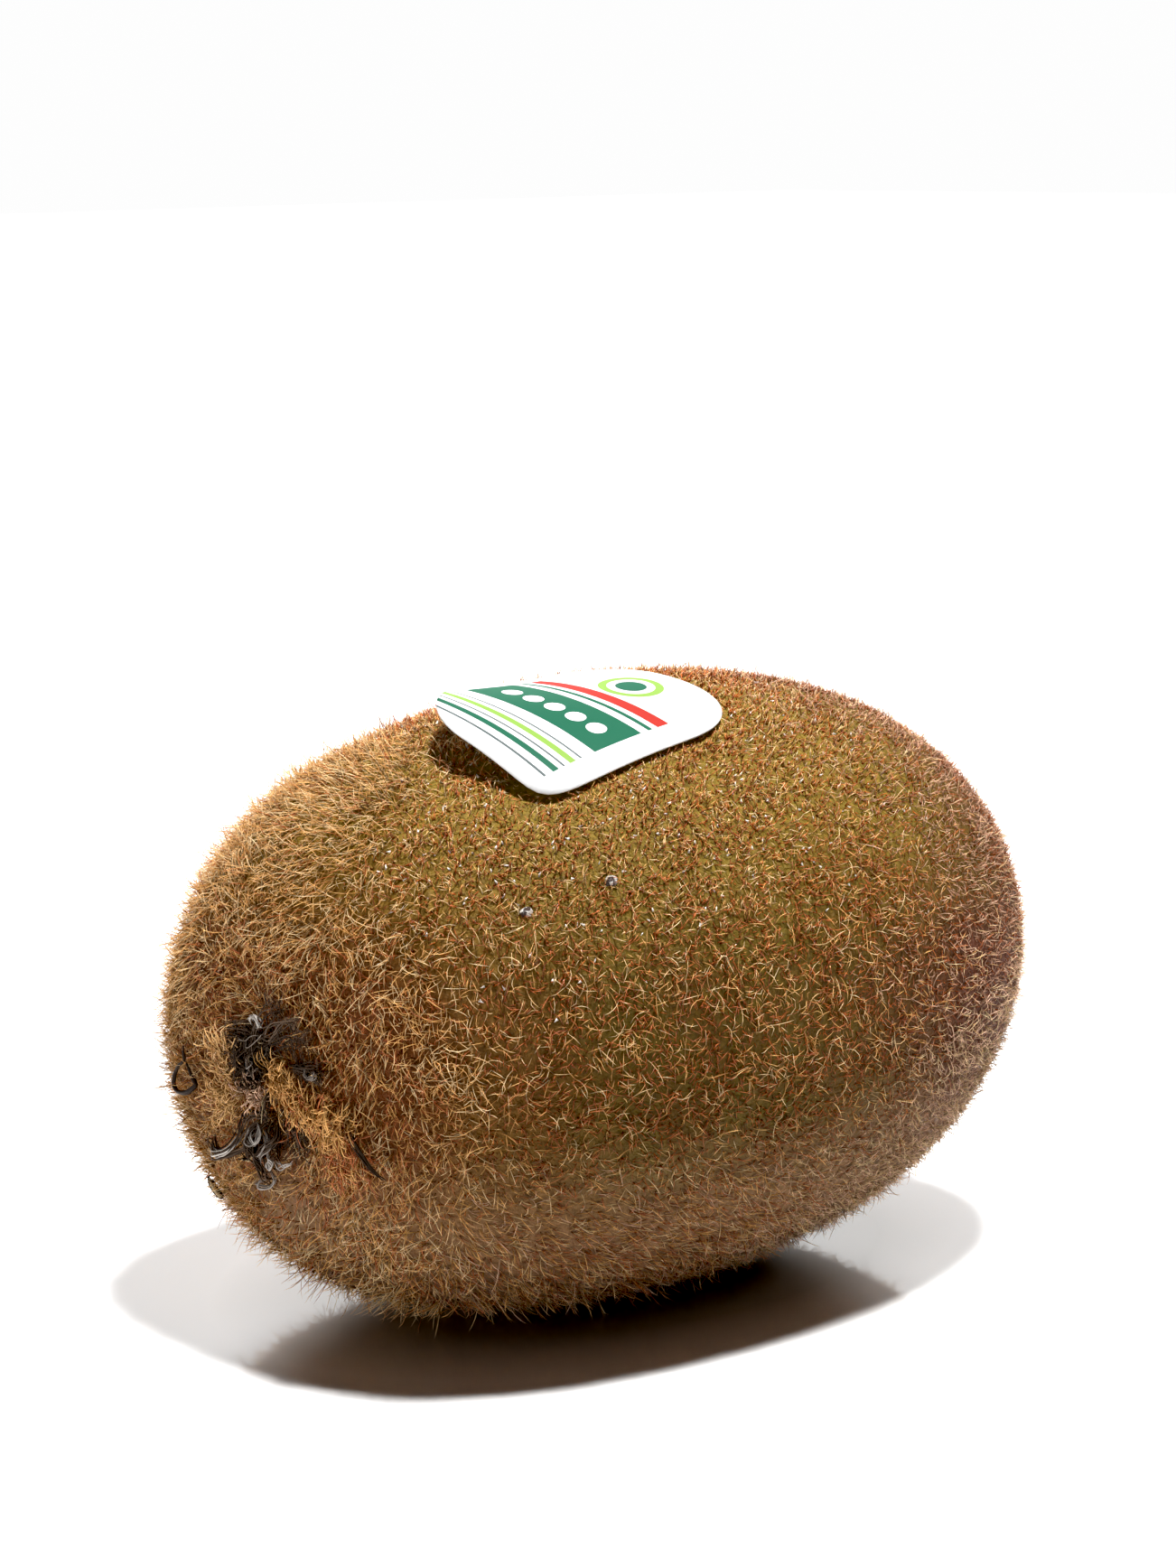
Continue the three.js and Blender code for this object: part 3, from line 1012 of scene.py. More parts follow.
@dataclass(frozen=True)
class ProduceLabel:
    """A thin paper label wrapped over the top, its back squared, its front arched, one edge up."""

    form: FruitForm
    x: float = -5.88  # middle of the label along the fruit
    lean: float = math.radians(14.02)  # its place round the fruit, from the top
    turn: float = math.radians(-6.63)  # its length against the fruit's
    offset: float = -1.67  # shift across the fruit, once turned
    back: float = 13.74  # reach from the middle: back, front and either side
    front: float = 9.09
    half: float = 7.98
    near_corner: float = 8.95  # exponents of the outline: two back corners and the front
    far_corner: float = 1.96
    archness: float = 2.78
    thick: float = 0.16
    wall: float = 0.128  # thickness that the sheet is given, less than the room kept for it
    gap: float = 0.4  # from the skin to the paper
    peel: float = 4.77  # height that the loosest corner stands up by
    peel_from: float = -3.7
    peel_curl: float = 1.81
    peel_skew: float = 1.26
    cells: int = 32

    def reach(self, angle: Array) -> Array:
        """Distance of the edge from the middle.

        Args:
            angle: Directions on the flat label.

        Returns:
            The distance in each of them.
        """
        corner = np.where(np.sin(angle) < 0, self.far_corner, self.near_corner)
        n = np.where(np.cos(angle) < 0, corner, self.archness)
        half = np.where(np.cos(angle) < 0, self.back, self.front)
        ahead, aside = np.abs(np.cos(angle) / half), np.abs(np.sin(angle) / self.half)
        return (ahead**n + aside**n) ** (-1 / n)

    def peeled(self, u: Array, v: Array) -> Array:
        """Height that the paper has come away by.

        Args:
            u: Place along the flat label.
            v: Place across it.

        Returns:
            The height there.
        """
        behind = np.clip((-u - self.peel_from) / (self.back - self.peel_from), 0, 1)
        aside = np.clip((self.half - v) / (2 * self.half), 0, 1)
        return self.peel * behind**self.peel_curl * aside**self.peel_skew

    def room(self, points: Array, a: Array) -> tuple[Array, Array]:
        """Finds what space the label leaves to hairs.

        Args:
            points: Skin points on the straight axis.
            a: Their angles.

        Returns:
            Distance from the label's middle in parts of its reach that way, and the height
            under the paper.
        """
        round_top = (a - math.pi / 2 - self.lean + math.pi) % TURN - math.pi
        across = round_top * (self.form.height / 2 + self.gap) - self.offset
        ahead = points[..., 0] - self.x
        u = ahead * math.cos(self.turn) + across * math.sin(self.turn)
        v = across * math.cos(self.turn) - ahead * math.sin(self.turn)
        return np.hypot(u, v) / self.reach(np.arctan2(v, u)), self.gap + self.peeled(u, v)

    def sheet(self, u: Array, v: Array) -> Array:
        """Bends the flat label over the fruit.

        Args:
            u: Place along the flat label.
            v: Place across it.

        Returns:
            Points in the middle of the paper's thickness.
        """
        ahead = u * math.cos(self.turn) - v * math.sin(self.turn)
        across = u * math.sin(self.turn) + v * math.cos(self.turn) + self.offset
        along = self.form.evened(np.clip((self.x + ahead) / (self.form.length / 2), -1, 1))
        angle = math.pi / 2 + self.lean + across / (self.form.height / 2 + self.gap)
        points, normal, _, _ = self.form.frames(along, angle)
        return points + normal * (self.gap + self.thick / 2 + self.peeled(u, v))[..., None]

    def build(self) -> bpy.types.Object:
        """Bends a grid over the fruit, gives it the paper's thickness and maps the print.

        Returns:
            The sheet.
        """
        bm = bmesh.new()
        bmesh.ops.create_grid(bm, x_segments=self.cells, y_segments=self.cells, size=1)
        grid = np.array([v.co for v in bm.verts])[:, :2]
        radius, angle = np.abs(grid).max(1), np.arctan2(grid[:, 1], grid[:, 0])
        flat = np.stack([np.cos(angle), np.sin(angle)], 1) * (radius * self.reach(angle))[:, None]
        layer = bm.loops.layers.uv.new(LABEL_UV)
        length = self.back + self.front
        bm.verts.index_update()
        lay(bm, self.sheet(flat[:, 0], flat[:, 1]))
        for face in bm.faces:
            for loop in face.loops:
                u, v = flat[loop.vert.index]
                loop[layer].uv = ((u + self.back) / length, (v + self.half) / (2 * self.half))
        bmesh.ops.recalc_face_normals(bm, faces=bm.faces)
        bmesh.ops.solidify(bm, geom=bm.faces[:], thickness=self.wall * MM)
        return link_mesh("label_sheet", bm)


# ---------- coats of hair ----------


@dataclass(frozen=True)
class Habit:
    """How a coat grows in one region."""

    density: float  # hairs for each square millimetre
    length: tuple[float, float]
    rise: tuple[float, float]  # degrees off the skin at the root and at the tip
    tones: dict[Tone, float]
    tone_range: tuple[float, float] = (0.15, 0.95)
    curl: float = 60.0  # degrees it turns along its length
    comb: float = 0.5  # 0 every which way, 1 all one way
    heading: float = 0.0  # degrees from the direction of the stem end
    stray: float = 10.0  # degrees that the rise of single hairs differs


@dataclass(frozen=True)
class Coat:
    """One kind of hair, over the regions that it has a habit for."""

    name: str
    template: StrandTemplate
    radius: float
    habits: dict[Region, Habit]
    seed: int
    clump: float = 1.6  # size of the locks that hairs gather in


@dataclass(frozen=True)
class Fuzz:
    """Plants the coats on the skin and bends their hairs."""

    form: FruitForm
    label: ProduceLabel
    rows: int = 260
    columns: int = 420
    pole: float = 0.9995  # no hair grows nearer to an end than this v
    depth: float = 0.04  # how far roots are sunk into the skin
    hug: float = 50.0  # twice the radius of the curve by which hairs follow the skin
    label_edge: float = 0.97  # share of the label's reach within which it covers roots
    headroom: float = 1.2  # height under the paper at which hairs still grow
    lowest_root: float = 0.02
    rise_limits: tuple[float, float] = (-5.0, 95.0)  # degrees off the skin

    @cached_property
    def cells(self) -> tuple[Array, Array, Array]:
        """Cuts the skin into a grid.

        Returns:
            Centre v, centre angle and area of every cell.
        """
        v = np.linspace(-self.pole, self.pole, self.rows + 1)
        a = np.linspace(-math.pi, math.pi, self.columns + 1)
        corners = self.form.skin(*np.meshgrid(v, a, indexing="ij"))
        one, two = corners[1:, 1:] - corners[:-1, :-1], corners[1:, :-1] - corners[:-1, 1:]
        area = np.linalg.norm(np.cross(one, two), axis=-1) / 2
        centres = np.meshgrid((v[1:] + v[:-1]) / 2, (a[1:] + a[:-1]) / 2, indexing="ij")
        return centres[0].ravel(), centres[1].ravel(), area.ravel()

    def plant(
        self, coat: Coat, rng: np.random.Generator
    ) -> tuple[Array, Array, dict[Region, Array]]:
        """Chooses the roots of a coat.

        Args:
            coat: The coat to plant.
            rng: Source of chance.

        Returns:
            v and angle of each root, and its share in each region.
        """
        v, a, area = self.cells
        share = memberships(self.form.axial(v), a)
        wanted = sum(share[r] * h.density for r, h in coat.habits.items()) * area
        wanted = wanted * (1 - 0.6 * smooth(-np.sin(a), 0.9, 0.97))
        count = rng.poisson(wanted)
        pick = np.repeat(np.arange(len(v)), count)
        v = v[pick] + (rng.random(len(pick)) - 0.5) * (2 * self.pole / self.rows)
        a = a[pick] + (rng.random(len(pick)) - 0.5) * (TURN / self.columns)
        v = np.clip(v, -self.pole, self.pole)
        t = self.form.axial(v)
        covered, room = self.label.room(self.form.local(t, a), a)
        free = (covered > self.label_edge) | (room > self.headroom)
        free &= self.form.skin(v, a)[:, 2] > self.lowest_root
        v, a = v[free], a[free]
        return v, a, memberships(self.form.axial(v), a)

    @staticmethod
    def blend(coat: Coat, share: dict[Region, Array], pick: Array) -> list[Habit]:
        """The habit that each root takes.

        Args:
            coat: The coat.
            share: Share of each root in each region.
            pick: A number between 0 and 1 for each root.

        Returns:
            One habit for each root.
        """
        regions = list(coat.habits)
        weight = np.stack([share[r] * coat.habits[r].density for r in regions])
        bounds = np.cumsum(weight / np.maximum(weight.sum(0), 1e-9), axis=0)
        chosen = (pick[None] > bounds).sum(0).clip(0, len(regions) - 1)
        return [coat.habits[regions[k]] for k in chosen]

    @staticmethod
    def locks(points: Array, size: float, rng: np.random.Generator) -> Array:
        """Gathers roots in locks.

        Args:
            points: The roots.
            size: Size of a lock.
            rng: Source of chance.

        Returns:
            A random number for each root, the same all over a lock.
        """
        warped = points + 0.45 * size * np.sin(points[:, [1, 2, 0]] / size * 2.1)
        cells = np.floor(warped / size).astype(int)
        lock = np.unique(cells, axis=0, return_inverse=True)[1].reshape(-1)
        return rng.standard_normal(lock.max() + 1)[lock]

    def grow(self, coat: Coat) -> bpy.types.Object:
        """Grows a coat.

        Args:
            coat: The coat to grow.

        Returns:
            The piece that holds its hairs.
        """
        rng = np.random.default_rng(coat.seed)
        v, a, share = self.plant(coat, rng)
        count = len(v)
        habits = self.blend(coat, share, rng.random(count))
        low, high = np.array([h.length for h in habits]).T
        length = low + (high - low) * rng.beta(1.6, 2.2, count)
        rise = np.radians([h.rise for h in habits])
        stray = np.array([h.stray for h in habits])[:, None]
        rise = rise + np.radians(rng.normal(0, 1, (count, 1)) * stray)
        rise = np.clip(rise, *np.radians(self.rise_limits))
        root, normal, along, around = self.form.frames(v, a)

        lock = self.locks(root, coat.clump, rng)
        x, y, z = root.T
        swirl = np.sin(0.21 * x + 0.33 * z) + np.sin(0.37 * y - 0.19 * z + 2.0)
        comb = np.array([h.comb for h in habits])
        loose = rng.uniform(-math.pi, math.pi, count) * (1 - comb)
        heading = np.radians([h.heading for h in habits])
        heading = heading + 0.5 * swirl + 0.45 * lock * (1.2 - comb) + loose
        curl = np.radians([h.curl for h in habits]) * rng.normal(0, 1, count)
        covered, room = self.label.room(self.form.local(self.form.axial(v), a), a)
        near = np.maximum(smooth(covered, self.label_edge, 1.12), smooth(room, 0.8, 2.4))
        length = length * (0.45 + 0.55 * near)
        rise = rise * (0.4 + 0.6 * near)[:, None]

        steps = coat.template.segments
        path = np.empty((count, steps + 1, 3))
        path[:, 0] = root - self.depth * normal
        for k in range(steps):
            f = (k + 0.5) / steps
            up = rise[:, 0] + (rise[:, 1] - rise[:, 0]) * f
            turn = heading + curl * (f - 0.3)
            ahead = np.cos(turn)[:, None] * along + np.sin(turn)[:, None] * around
            step = np.cos(up)[:, None] * ahead + np.sin(up)[:, None] * normal
            path[:, k + 1] = path[:, k] + step * (length / steps)[:, None]
        off = path - root[:, None]
        height = (off * normal[:, None]).sum(-1)
        flat = np.maximum((off**2).sum(-1) - height**2, 0)
        path -= (flat / self.hug)[..., None] * normal[:, None]

        taper = np.linspace(1.0, 0.45, steps + 1)[None]
        radius = coat.radius * rng.uniform(0.75, 1.25, (count, 1)) * taper
        return coat.template.bend(coat.name, path, radius, self.tones(habits, rng))

    @staticmethod
    def tones(habits: list[Habit], rng: np.random.Generator) -> Array:
        """Places on the tone ramp.

        Args:
            habits: The habit of each root, which names its families of tones.
            rng: Source of chance.

        Returns:
            A place for each root.
        """
        out = np.empty(len(habits))
        chance, inside = rng.random(len(habits)), rng.random(len(habits))
        tables: dict[int, tuple[list[Tone], Array]] = {}
        for k, habit in enumerate(habits):
            if id(habit) not in tables:
                weight = np.array(list(habit.tones.values()))
                tables[id(habit)] = (list(habit.tones), np.cumsum(weight / weight.sum()))
            families, bounds = tables[id(habit)]
            tone = families[min(int(np.searchsorted(bounds, chance[k])), len(families) - 1)]
            low, high = habit.tone_range
            out[k] = (tone.value + low + (high - low) * inside[k]) * TONE_STRETCH
        return out


SPIKE = StrandTemplate(3, 1)
SHORT_HAIR = StrandTemplate(3, 2)
HAIR = StrandTemplate(3, 3)
LONG_HAIR = StrandTemplate(3, 4)
FINE_FIBRE = StrandTemplate(3, 6)
THICK_STYLE = StrandTemplate(4, 14)
LOOP_STYLE = StrandTemplate(6, 40)
THREAD_STYLE = StrandTemplate(6, 20)

GOLDEN = {Tone.GOLD: 0.44, Tone.RUST: 0.09, Tone.PALE: 0.47}
SANDY = {Tone.RUST: 0.38, Tone.GOLD: 0.23, Tone.PALE: 0.39}
STUBBLY = {Tone.RUST: 0.76, Tone.GOLD: 0.14, Tone.PALE: 0.10}
RUSTY = {Tone.RUST: 0.84, Tone.GOLD: 0.16}
MIXED = {Tone.RUST: 0.56, Tone.GOLD: 0.28, Tone.PALE: 0.16}
AMBER = {Tone.GOLD: 0.36, Tone.RUST: 0.26, Tone.ROSE: 0.16, Tone.PALE: 0.22}
DUSKY = {Tone.ROSE: 0.64, Tone.RUST: 0.36}
BLUSH = {Tone.ROSE: 0.60, Tone.PALE: 0.40}
STRAW = {Tone.PALE: 0.42, Tone.GOLD: 0.46, Tone.RUST: 0.12}
FOXY = {Tone.RUST: 0.26, Tone.GOLD: 0.48, Tone.PALE: 0.26}
BRIGHT = (0.45, 1.0)
DIM = (0.0, 0.55)

COATS = (
    Coat("fuzz_blossom_end", HAIR, 0.036, {
        Region.BLOSSOM: Habit(6.0, (1.2, 2.8), (50, 14), GOLDEN, curl=40, comb=0.55, heading=150,
                              stray=14),
        Region.FACE: Habit(5.8, (1.1, 2.6), (50, 14), FOXY, BRIGHT, curl=65, comb=0.45, heading=10,
                           stray=15),
    }, seed=11),
    Coat("underfuzz_blossom_end", SHORT_HAIR, 0.036, {
        Region.BLOSSOM: Habit(3.6, (0.7, 1.7), (50, 22), GOLDEN, curl=40, comb=0.5, heading=150,
                              stray=18),
        Region.FACE: Habit(3.6, (0.7, 1.7), (45, 20), FOXY, curl=60, comb=0.3, heading=10,
                           stray=18),
    }, seed=13),
    Coat("fuzz_flanks", SHORT_HAIR, 0.041, {
        Region.CROWN: Habit(4.5, (0.5, 1.5), (40, 10), SANDY, curl=50, comb=0.15, stray=16),
        Region.FLANK: Habit(3.7, (0.7, 1.9), (34, 6), MIXED, curl=60, comb=0.15, stray=14),
        Region.STEM: Habit(3.7, (0.5, 1.5), (32, 6), DUSKY, DIM, curl=70, comb=0.2, stray=16),
    }, seed=23),
    Coat("fuzz_belly", SHORT_HAIR, 0.038, {
        Region.BELLY: Habit(5.0, (0.8, 2.0), (38, 10), AMBER, curl=40, comb=0.65, heading=15,
                            stray=12),
        Region.HAUNCH: Habit(4.9, (0.8, 2.0), (36, 8), BLUSH, (0.6, 1.0), curl=70, comb=0.4,
                             heading=15, stray=14),
    }, seed=31),
    Coat("long_hairs", LONG_HAIR, 0.036, {
        Region.BLOSSOM: Habit(1.1, (2.0, 3.5), (68, 42), GOLDEN, curl=70, comb=0.3, heading=150,
                              stray=18),
        Region.FACE: Habit(1.4, (1.8, 3.2), (55, 22), FOXY, BRIGHT, curl=100, comb=0.3, heading=10,
                           stray=18),
        Region.CROWN: Habit(0.10, (1.0, 2.0), (60, 35), MIXED, curl=60, comb=0.1, stray=20),
        Region.FLANK: Habit(0.5, (1.4, 2.7), (28, 7), STRAW, curl=90, comb=0.1),
        Region.BELLY: Habit(0.9, (1.6, 2.7), (52, 25), AMBER, curl=50, comb=0.5, heading=15,
                            stray=16),
        Region.STEM: Habit(0.35, (1.2, 2.4), (24, 6), {Tone.PALE: 0.4, Tone.ROSE: 0.6}, curl=110,
                           comb=0.1, stray=16),
        Region.HAUNCH: Habit(0.8, (1.3, 2.6), (40, 12), BLUSH, (0.6, 1.0), curl=90, comb=0.2,
                             stray=16),
    }, seed=47),
    Coat("upright_hairs", SHORT_HAIR, 0.040, {
        Region.BLOSSOM: Habit(0.5, (1.2, 2.4), (80, 62), GOLDEN, comb=0.1, stray=16),
        Region.CROWN: Habit(0.9, (0.8, 2.1), (80, 50), MIXED, (0.0, 0.6), curl=30, comb=0.1,
                            stray=22),
        Region.FLANK: Habit(0.35, (0.8, 1.7), (76, 55), STRAW, comb=0.1, stray=16),
        Region.STEM: Habit(0.9, (0.7, 1.6), (78, 58), BLUSH, comb=0.1, stray=16),
        Region.HAUNCH: Habit(0.6, (0.8, 1.6), (78, 60), BLUSH, comb=0.1, stray=16),
    }, seed=53),
    Coat("stubble", SPIKE, 0.060, {
        Region.BLOSSOM: Habit(0.5, (0.5, 1.2), (60, 60), GOLDEN, comb=0.2, stray=25),
        Region.CROWN: Habit(6.8, (0.4, 1.1), (42, 42), STUBBLY, comb=0.15, stray=30),
        Region.FLANK: Habit(5.0, (0.35, 0.95), (36, 36), RUSTY, comb=0.15, stray=24),
        Region.BELLY: Habit(1.5, (0.4, 1.0), (45, 45), AMBER, comb=0.5, heading=15, stray=20),
        Region.STEM: Habit(5.5, (0.3, 0.9), (38, 38), DUSKY, DIM, comb=0.2, stray=26),
        Region.HAUNCH: Habit(2.0, (0.3, 0.8), (40, 40), BLUSH, comb=0.2, stray=26),
    }, seed=59),
    # painted glints: tiny pale flecks on the crown, bright to their tips, that stand for the lamp's
    # glints on the skin
    Coat("painted_glint_flecks", SPIKE, 0.12, {
        Region.CROWN: Habit(0.35, (0.25, 0.5), (60, 0), {Tone.ASH: 1.0}, (0.95, 1.0), comb=0.0,
                            stray=30),
    }, seed=97),
)


# ---------- dried styles ----------


@dataclass(frozen=True)
class Bundle:
    """Fibres that share a course over the blossom end."""

    course: tuple[tuple[float, float], ...]  # across, up
    fibres: int
    spread: float
    height: tuple[float, float]
    radius: float
    tone: Tone = Tone.DARK
    tone_range: tuple[float, float] = (0.05, 0.8)
    wander: float = 0.22  # how far fibres stray from the course towards their tips


@dataclass(frozen=True)
class Down:
    """A patch of fine fibres, each going its own way about one heading."""

    centre: tuple[float, float]
    size: tuple[float, float]
    fibres: int
    heading: float
    stray: float
    length: tuple[float, float]
    height: tuple[float, float]
    radius: float
    tone: Tone = Tone.DARK
    tone_range: tuple[float, float] = (0.0, 0.6)


@dataclass(frozen=True)
class StyleTuft:
    """Dried styles or wool of one tuft, as bundles of fibres and patches of down."""

    form: FruitForm
    name: str
    replaces: str  # CAD node that the tuft stands for, or nothing
    seed: int
    bundles: tuple[Bundle, ...] = ()
    downs: tuple[Down, ...] = ()
    template: StrandTemplate = THICK_STYLE

    def bundle_paths(self, bundle: Bundle, rng: np.random.Generator) -> Array:
        """Courses of a bundle's fibres.

        Args:
            bundle: The bundle.
            rng: Source of chance.

        Returns:
            Fibres by rings by place: across, up and height off the skin.
        """
        rings = self.template.segments + 1
        out = np.empty((bundle.fibres, rings, 3))
        low, high = bundle.height
        for k in range(bundle.fibres):
            course = np.array(bundle.course)
            course = course + rng.normal(0, bundle.spread, 2)
            course = course + rng.normal(0, bundle.spread * 0.55, course.shape)
            start = rng.uniform(0, 0.18)
            line = catmull(course, 4 * rings)[int(start * 4 * rings):]
            keep = np.linspace(0, len(line) - 1, rings).astype(int)
            swell = np.sin(np.linspace(0.15, math.pi * 0.95, rings))
            lift = low + (high - low) * (0.35 + 0.65 * swell * rng.uniform(0.5, 1.3))
            lift = lift + rng.normal(0, bundle.spread * 0.5)
            f = np.linspace(0, 1, rings)[:, None]
            waves = np.sin(f * rng.uniform(4, 11, 3) + rng.uniform(0, TURN, 3))
            waves = waves * (0.25 + 0.75 * f)
            out[k] = np.column_stack([line[keep], lift]) + bundle.wander * waves
        return out

    def down_paths(self, down: Down, rng: np.random.Generator) -> Array:
        """Courses of a patch's fibres.

        Args:
            down: The patch.
            rng: Source of chance.

        Returns:
            Fibres by rings by place: across, up and height off the skin.
        """
        rings = self.template.segments + 1
        turn, far = rng.uniform(0, TURN, down.fibres), np.sqrt(rng.random(down.fibres))
        y = down.centre[0] + down.size[0] * far * np.cos(turn)
        z = down.centre[1] + down.size[1] * far * np.sin(turn)
        heading = np.radians(down.heading + rng.normal(0, down.stray, down.fibres))
        length = rng.uniform(*down.length, down.fibres)
        curl = rng.normal(0, 1.5, down.fibres)
        lift = rng.uniform(0.5, 1.4, down.fibres)
        low, high = down.height
        out = np.empty((down.fibres, rings, 3))
        for k in range(rings):
            f = k / (rings - 1)
            out[:, k, 0], out[:, k, 1] = y, z
            out[:, k, 2] = low + (high - low) * math.sin(math.pi * (0.1 + 0.6 * f)) * lift
            y = y + np.cos(heading + curl * f) * length / rings
            z = z + np.sin(heading + curl * f) * length / rings
        return out

    def build(self) -> bpy.types.Object:
        """Makes the tuft.

        Returns:
            The piece that holds its fibres.
        """
        rng = np.random.default_rng(self.seed)
        paths, radii, tones = [], [], []
        for part in (*self.bundles, *self.downs):
            course = self.bundle_paths if isinstance(part, Bundle) else self.down_paths
            lines = course(part, rng)
            count = len(lines)
            paths.append(self.form.end_point(-1, *np.moveaxis(lines, -1, 0)))
            taper = np.linspace(0, 1, self.template.segments + 1)
            shape = np.minimum(1, 0.45 + 3 * taper) * np.minimum(1, 0.15 + 3.2 * (1 - taper))
            radii.append(part.radius * rng.uniform(0.7, 1.3, (count, 1)) * shape[None])
            low, high = part.tone_range
            tone = part.tone.value + low + (high - low) * rng.random(count)
            tones.append(tone * TONE_STRETCH)
        return self.template.bend(self.name, *map(np.concatenate, (paths, radii, tones)))


# Bundles in the ash tone are pale grey fibres that also paint the highlights of the dark styles.
UPPER_BUNDLES = (
    Bundle(((1.1, 5.0), (1.0, 5.5), (0.2, 5.7), (-0.3, 5.3), (-0.1, 5.0), (0.7, 4.7)), 6, 0.08,
           (1.3, 1.9), 0.055, Tone.ASH, (0.3, 1.0), 0.12),
    Bundle(((0.6, 3.0), (0.2, 3.9), (-1.3, 4.8), (-3.0, 5.7), (-4.6, 6.5)), 6, 0.40, (0.9, 1.7),
           0.045, Tone.DARK, (0.3, 1.0)),
    Bundle(((0.4, 2.6), (0.0, 3.6), (-2.2, 4.4), (-4.2, 5.0), (-5.4, 5.1)), 5, 0.40, (0.9, 1.6),
           0.045, Tone.DARK, (0.3, 1.0)),
    Bundle(((0.8, 3.2), (0.5, 4.3), (-0.7, 5.5), (-1.6, 6.4), (-2.5, 6.9)), 7, 0.36, (0.9, 1.7),
           0.045),
    Bundle(((0.6, 2.4), (0.0, 3.2), (-1.5, 3.7), (-3.6, 4.4), (-5.2, 4.5)), 5, 0.38, (0.8, 1.5),
           0.042),
    Bundle(((1.2, 3.4), (1.7, 4.4), (3.3, 4.4), (4.3, 4.2)), 9, 0.25, (0.9, 1.6), 0.045, Tone.DARK,
           (0.3, 1.0)),
    Bundle(((1.6, 3.0), (2.1, 4.0), (3.8, 3.7), (4.4, 3.0)), 10, 0.32, (0.9, 1.6), 0.045),
    Bundle(((2.4, 4.2), (3.0, 3.4), (3.3, 2.0), (3.2, 0.9), (2.8, 0.4)), 12, 0.40, (0.8, 1.6),
           0.045),
    Bundle(((1.3, 4.3), (1.5, 3.3), (2.2, 1.9), (1.9, 1.1), (1.0, 0.9)), 20, 0.50, (0.8, 1.7),
           0.045),
    Bundle(((0.4, 4.2), (0.6, 3.1), (0.9, 2.3), (0.4, 1.8), (0.2, 1.2)), 12, 0.45, (0.8, 1.6),
           0.045),
    Bundle(((2.6, 2.3), (1.9, 1.3), (1.2, 1.2), (1.0, 1.9), (1.7, 2.1)), 4, 0.25, (1.6, 2.1), 0.042,
           Tone.ASH, (0.0, 0.3)),
    Bundle(((2.2, 3.8), (1.3, 3.2), (0.4, 3.5), (-0.6, 4.3)), 4, 0.35, (1.3, 1.8), 0.04, Tone.ASH,
           (0.0, 0.3)),
    Bundle(((2.97, 0.06), (4.01, -0.28), (4.94, -0.87)), 3, 0.08, (1.1, 1.4), 0.045, Tone.RUST,
           (0.0, 0.3)),
)
UPPER_DOWN = (
    Down((1.8, 3.3), (2.0, 1.3), 190, 260, 60, (1.2, 2.6), (0.9, 1.6), 0.036, Tone.DARK,
         (0.0, 0.6)),
    Down((1.9, 1.9), (1.6, 1.4), 170, 265, 40, (1.0, 2.2), (1.1, 1.9), 0.038, Tone.DARK,
         (0.0, 0.5)),
    Down((2.0, 0.9), (1.1, 0.6), 60, 265, 40, (0.7, 1.4), (1.2, 2.0), 0.038, Tone.DARK,
         (0.0, 0.4)),
    Down((-2.2, 4.6), (2.2, 0.9), 70, 160, 25, (1.4, 2.8), (0.8, 1.5), 0.034, Tone.DARK,
         (0.2, 1.0)),
    Down((-1.2, 6.0), (1.2, 0.7), 30, 130, 30, (1.2, 2.4), (0.8, 1.5), 0.034, Tone.DARK,
         (0.1, 1.0)),
)
# The ash-toned bundle here is a painted highlight on the dark fibres as well as pale fibre.
SIDE_BUNDLES = (
    Bundle(((-2.4, 2.1), (-3.4, 2.4), (-4.7, 2.8), (-5.8, 2.9), (-6.6, 2.5)), 12, 0.20, (0.9, 1.6),
           0.048),
    Bundle(((-5.2, 3.0), (-5.3, 2.4), (-6.0, 2.1), (-6.4, 2.4), (-6.2, 2.8)), 4, 0.10, (1.3, 1.9),
           0.055, Tone.ASH, (0.0, 0.7), 0.1),
    Bundle(((-3.2, 2.0), (-4.1, 2.3), (-5.2, 2.4), (-5.8, 2.1), (-6.2, 1.8)), 9, 0.20, (0.9, 1.5),
           0.045),
)
SIDE_DOWN = (Down((-4.6, 2.4), (1.7, 0.6), 80, 180, 25, (1.0, 2.2), (0.8, 1.3), 0.034, Tone.DARK,
                  (0.0, 0.8)),)
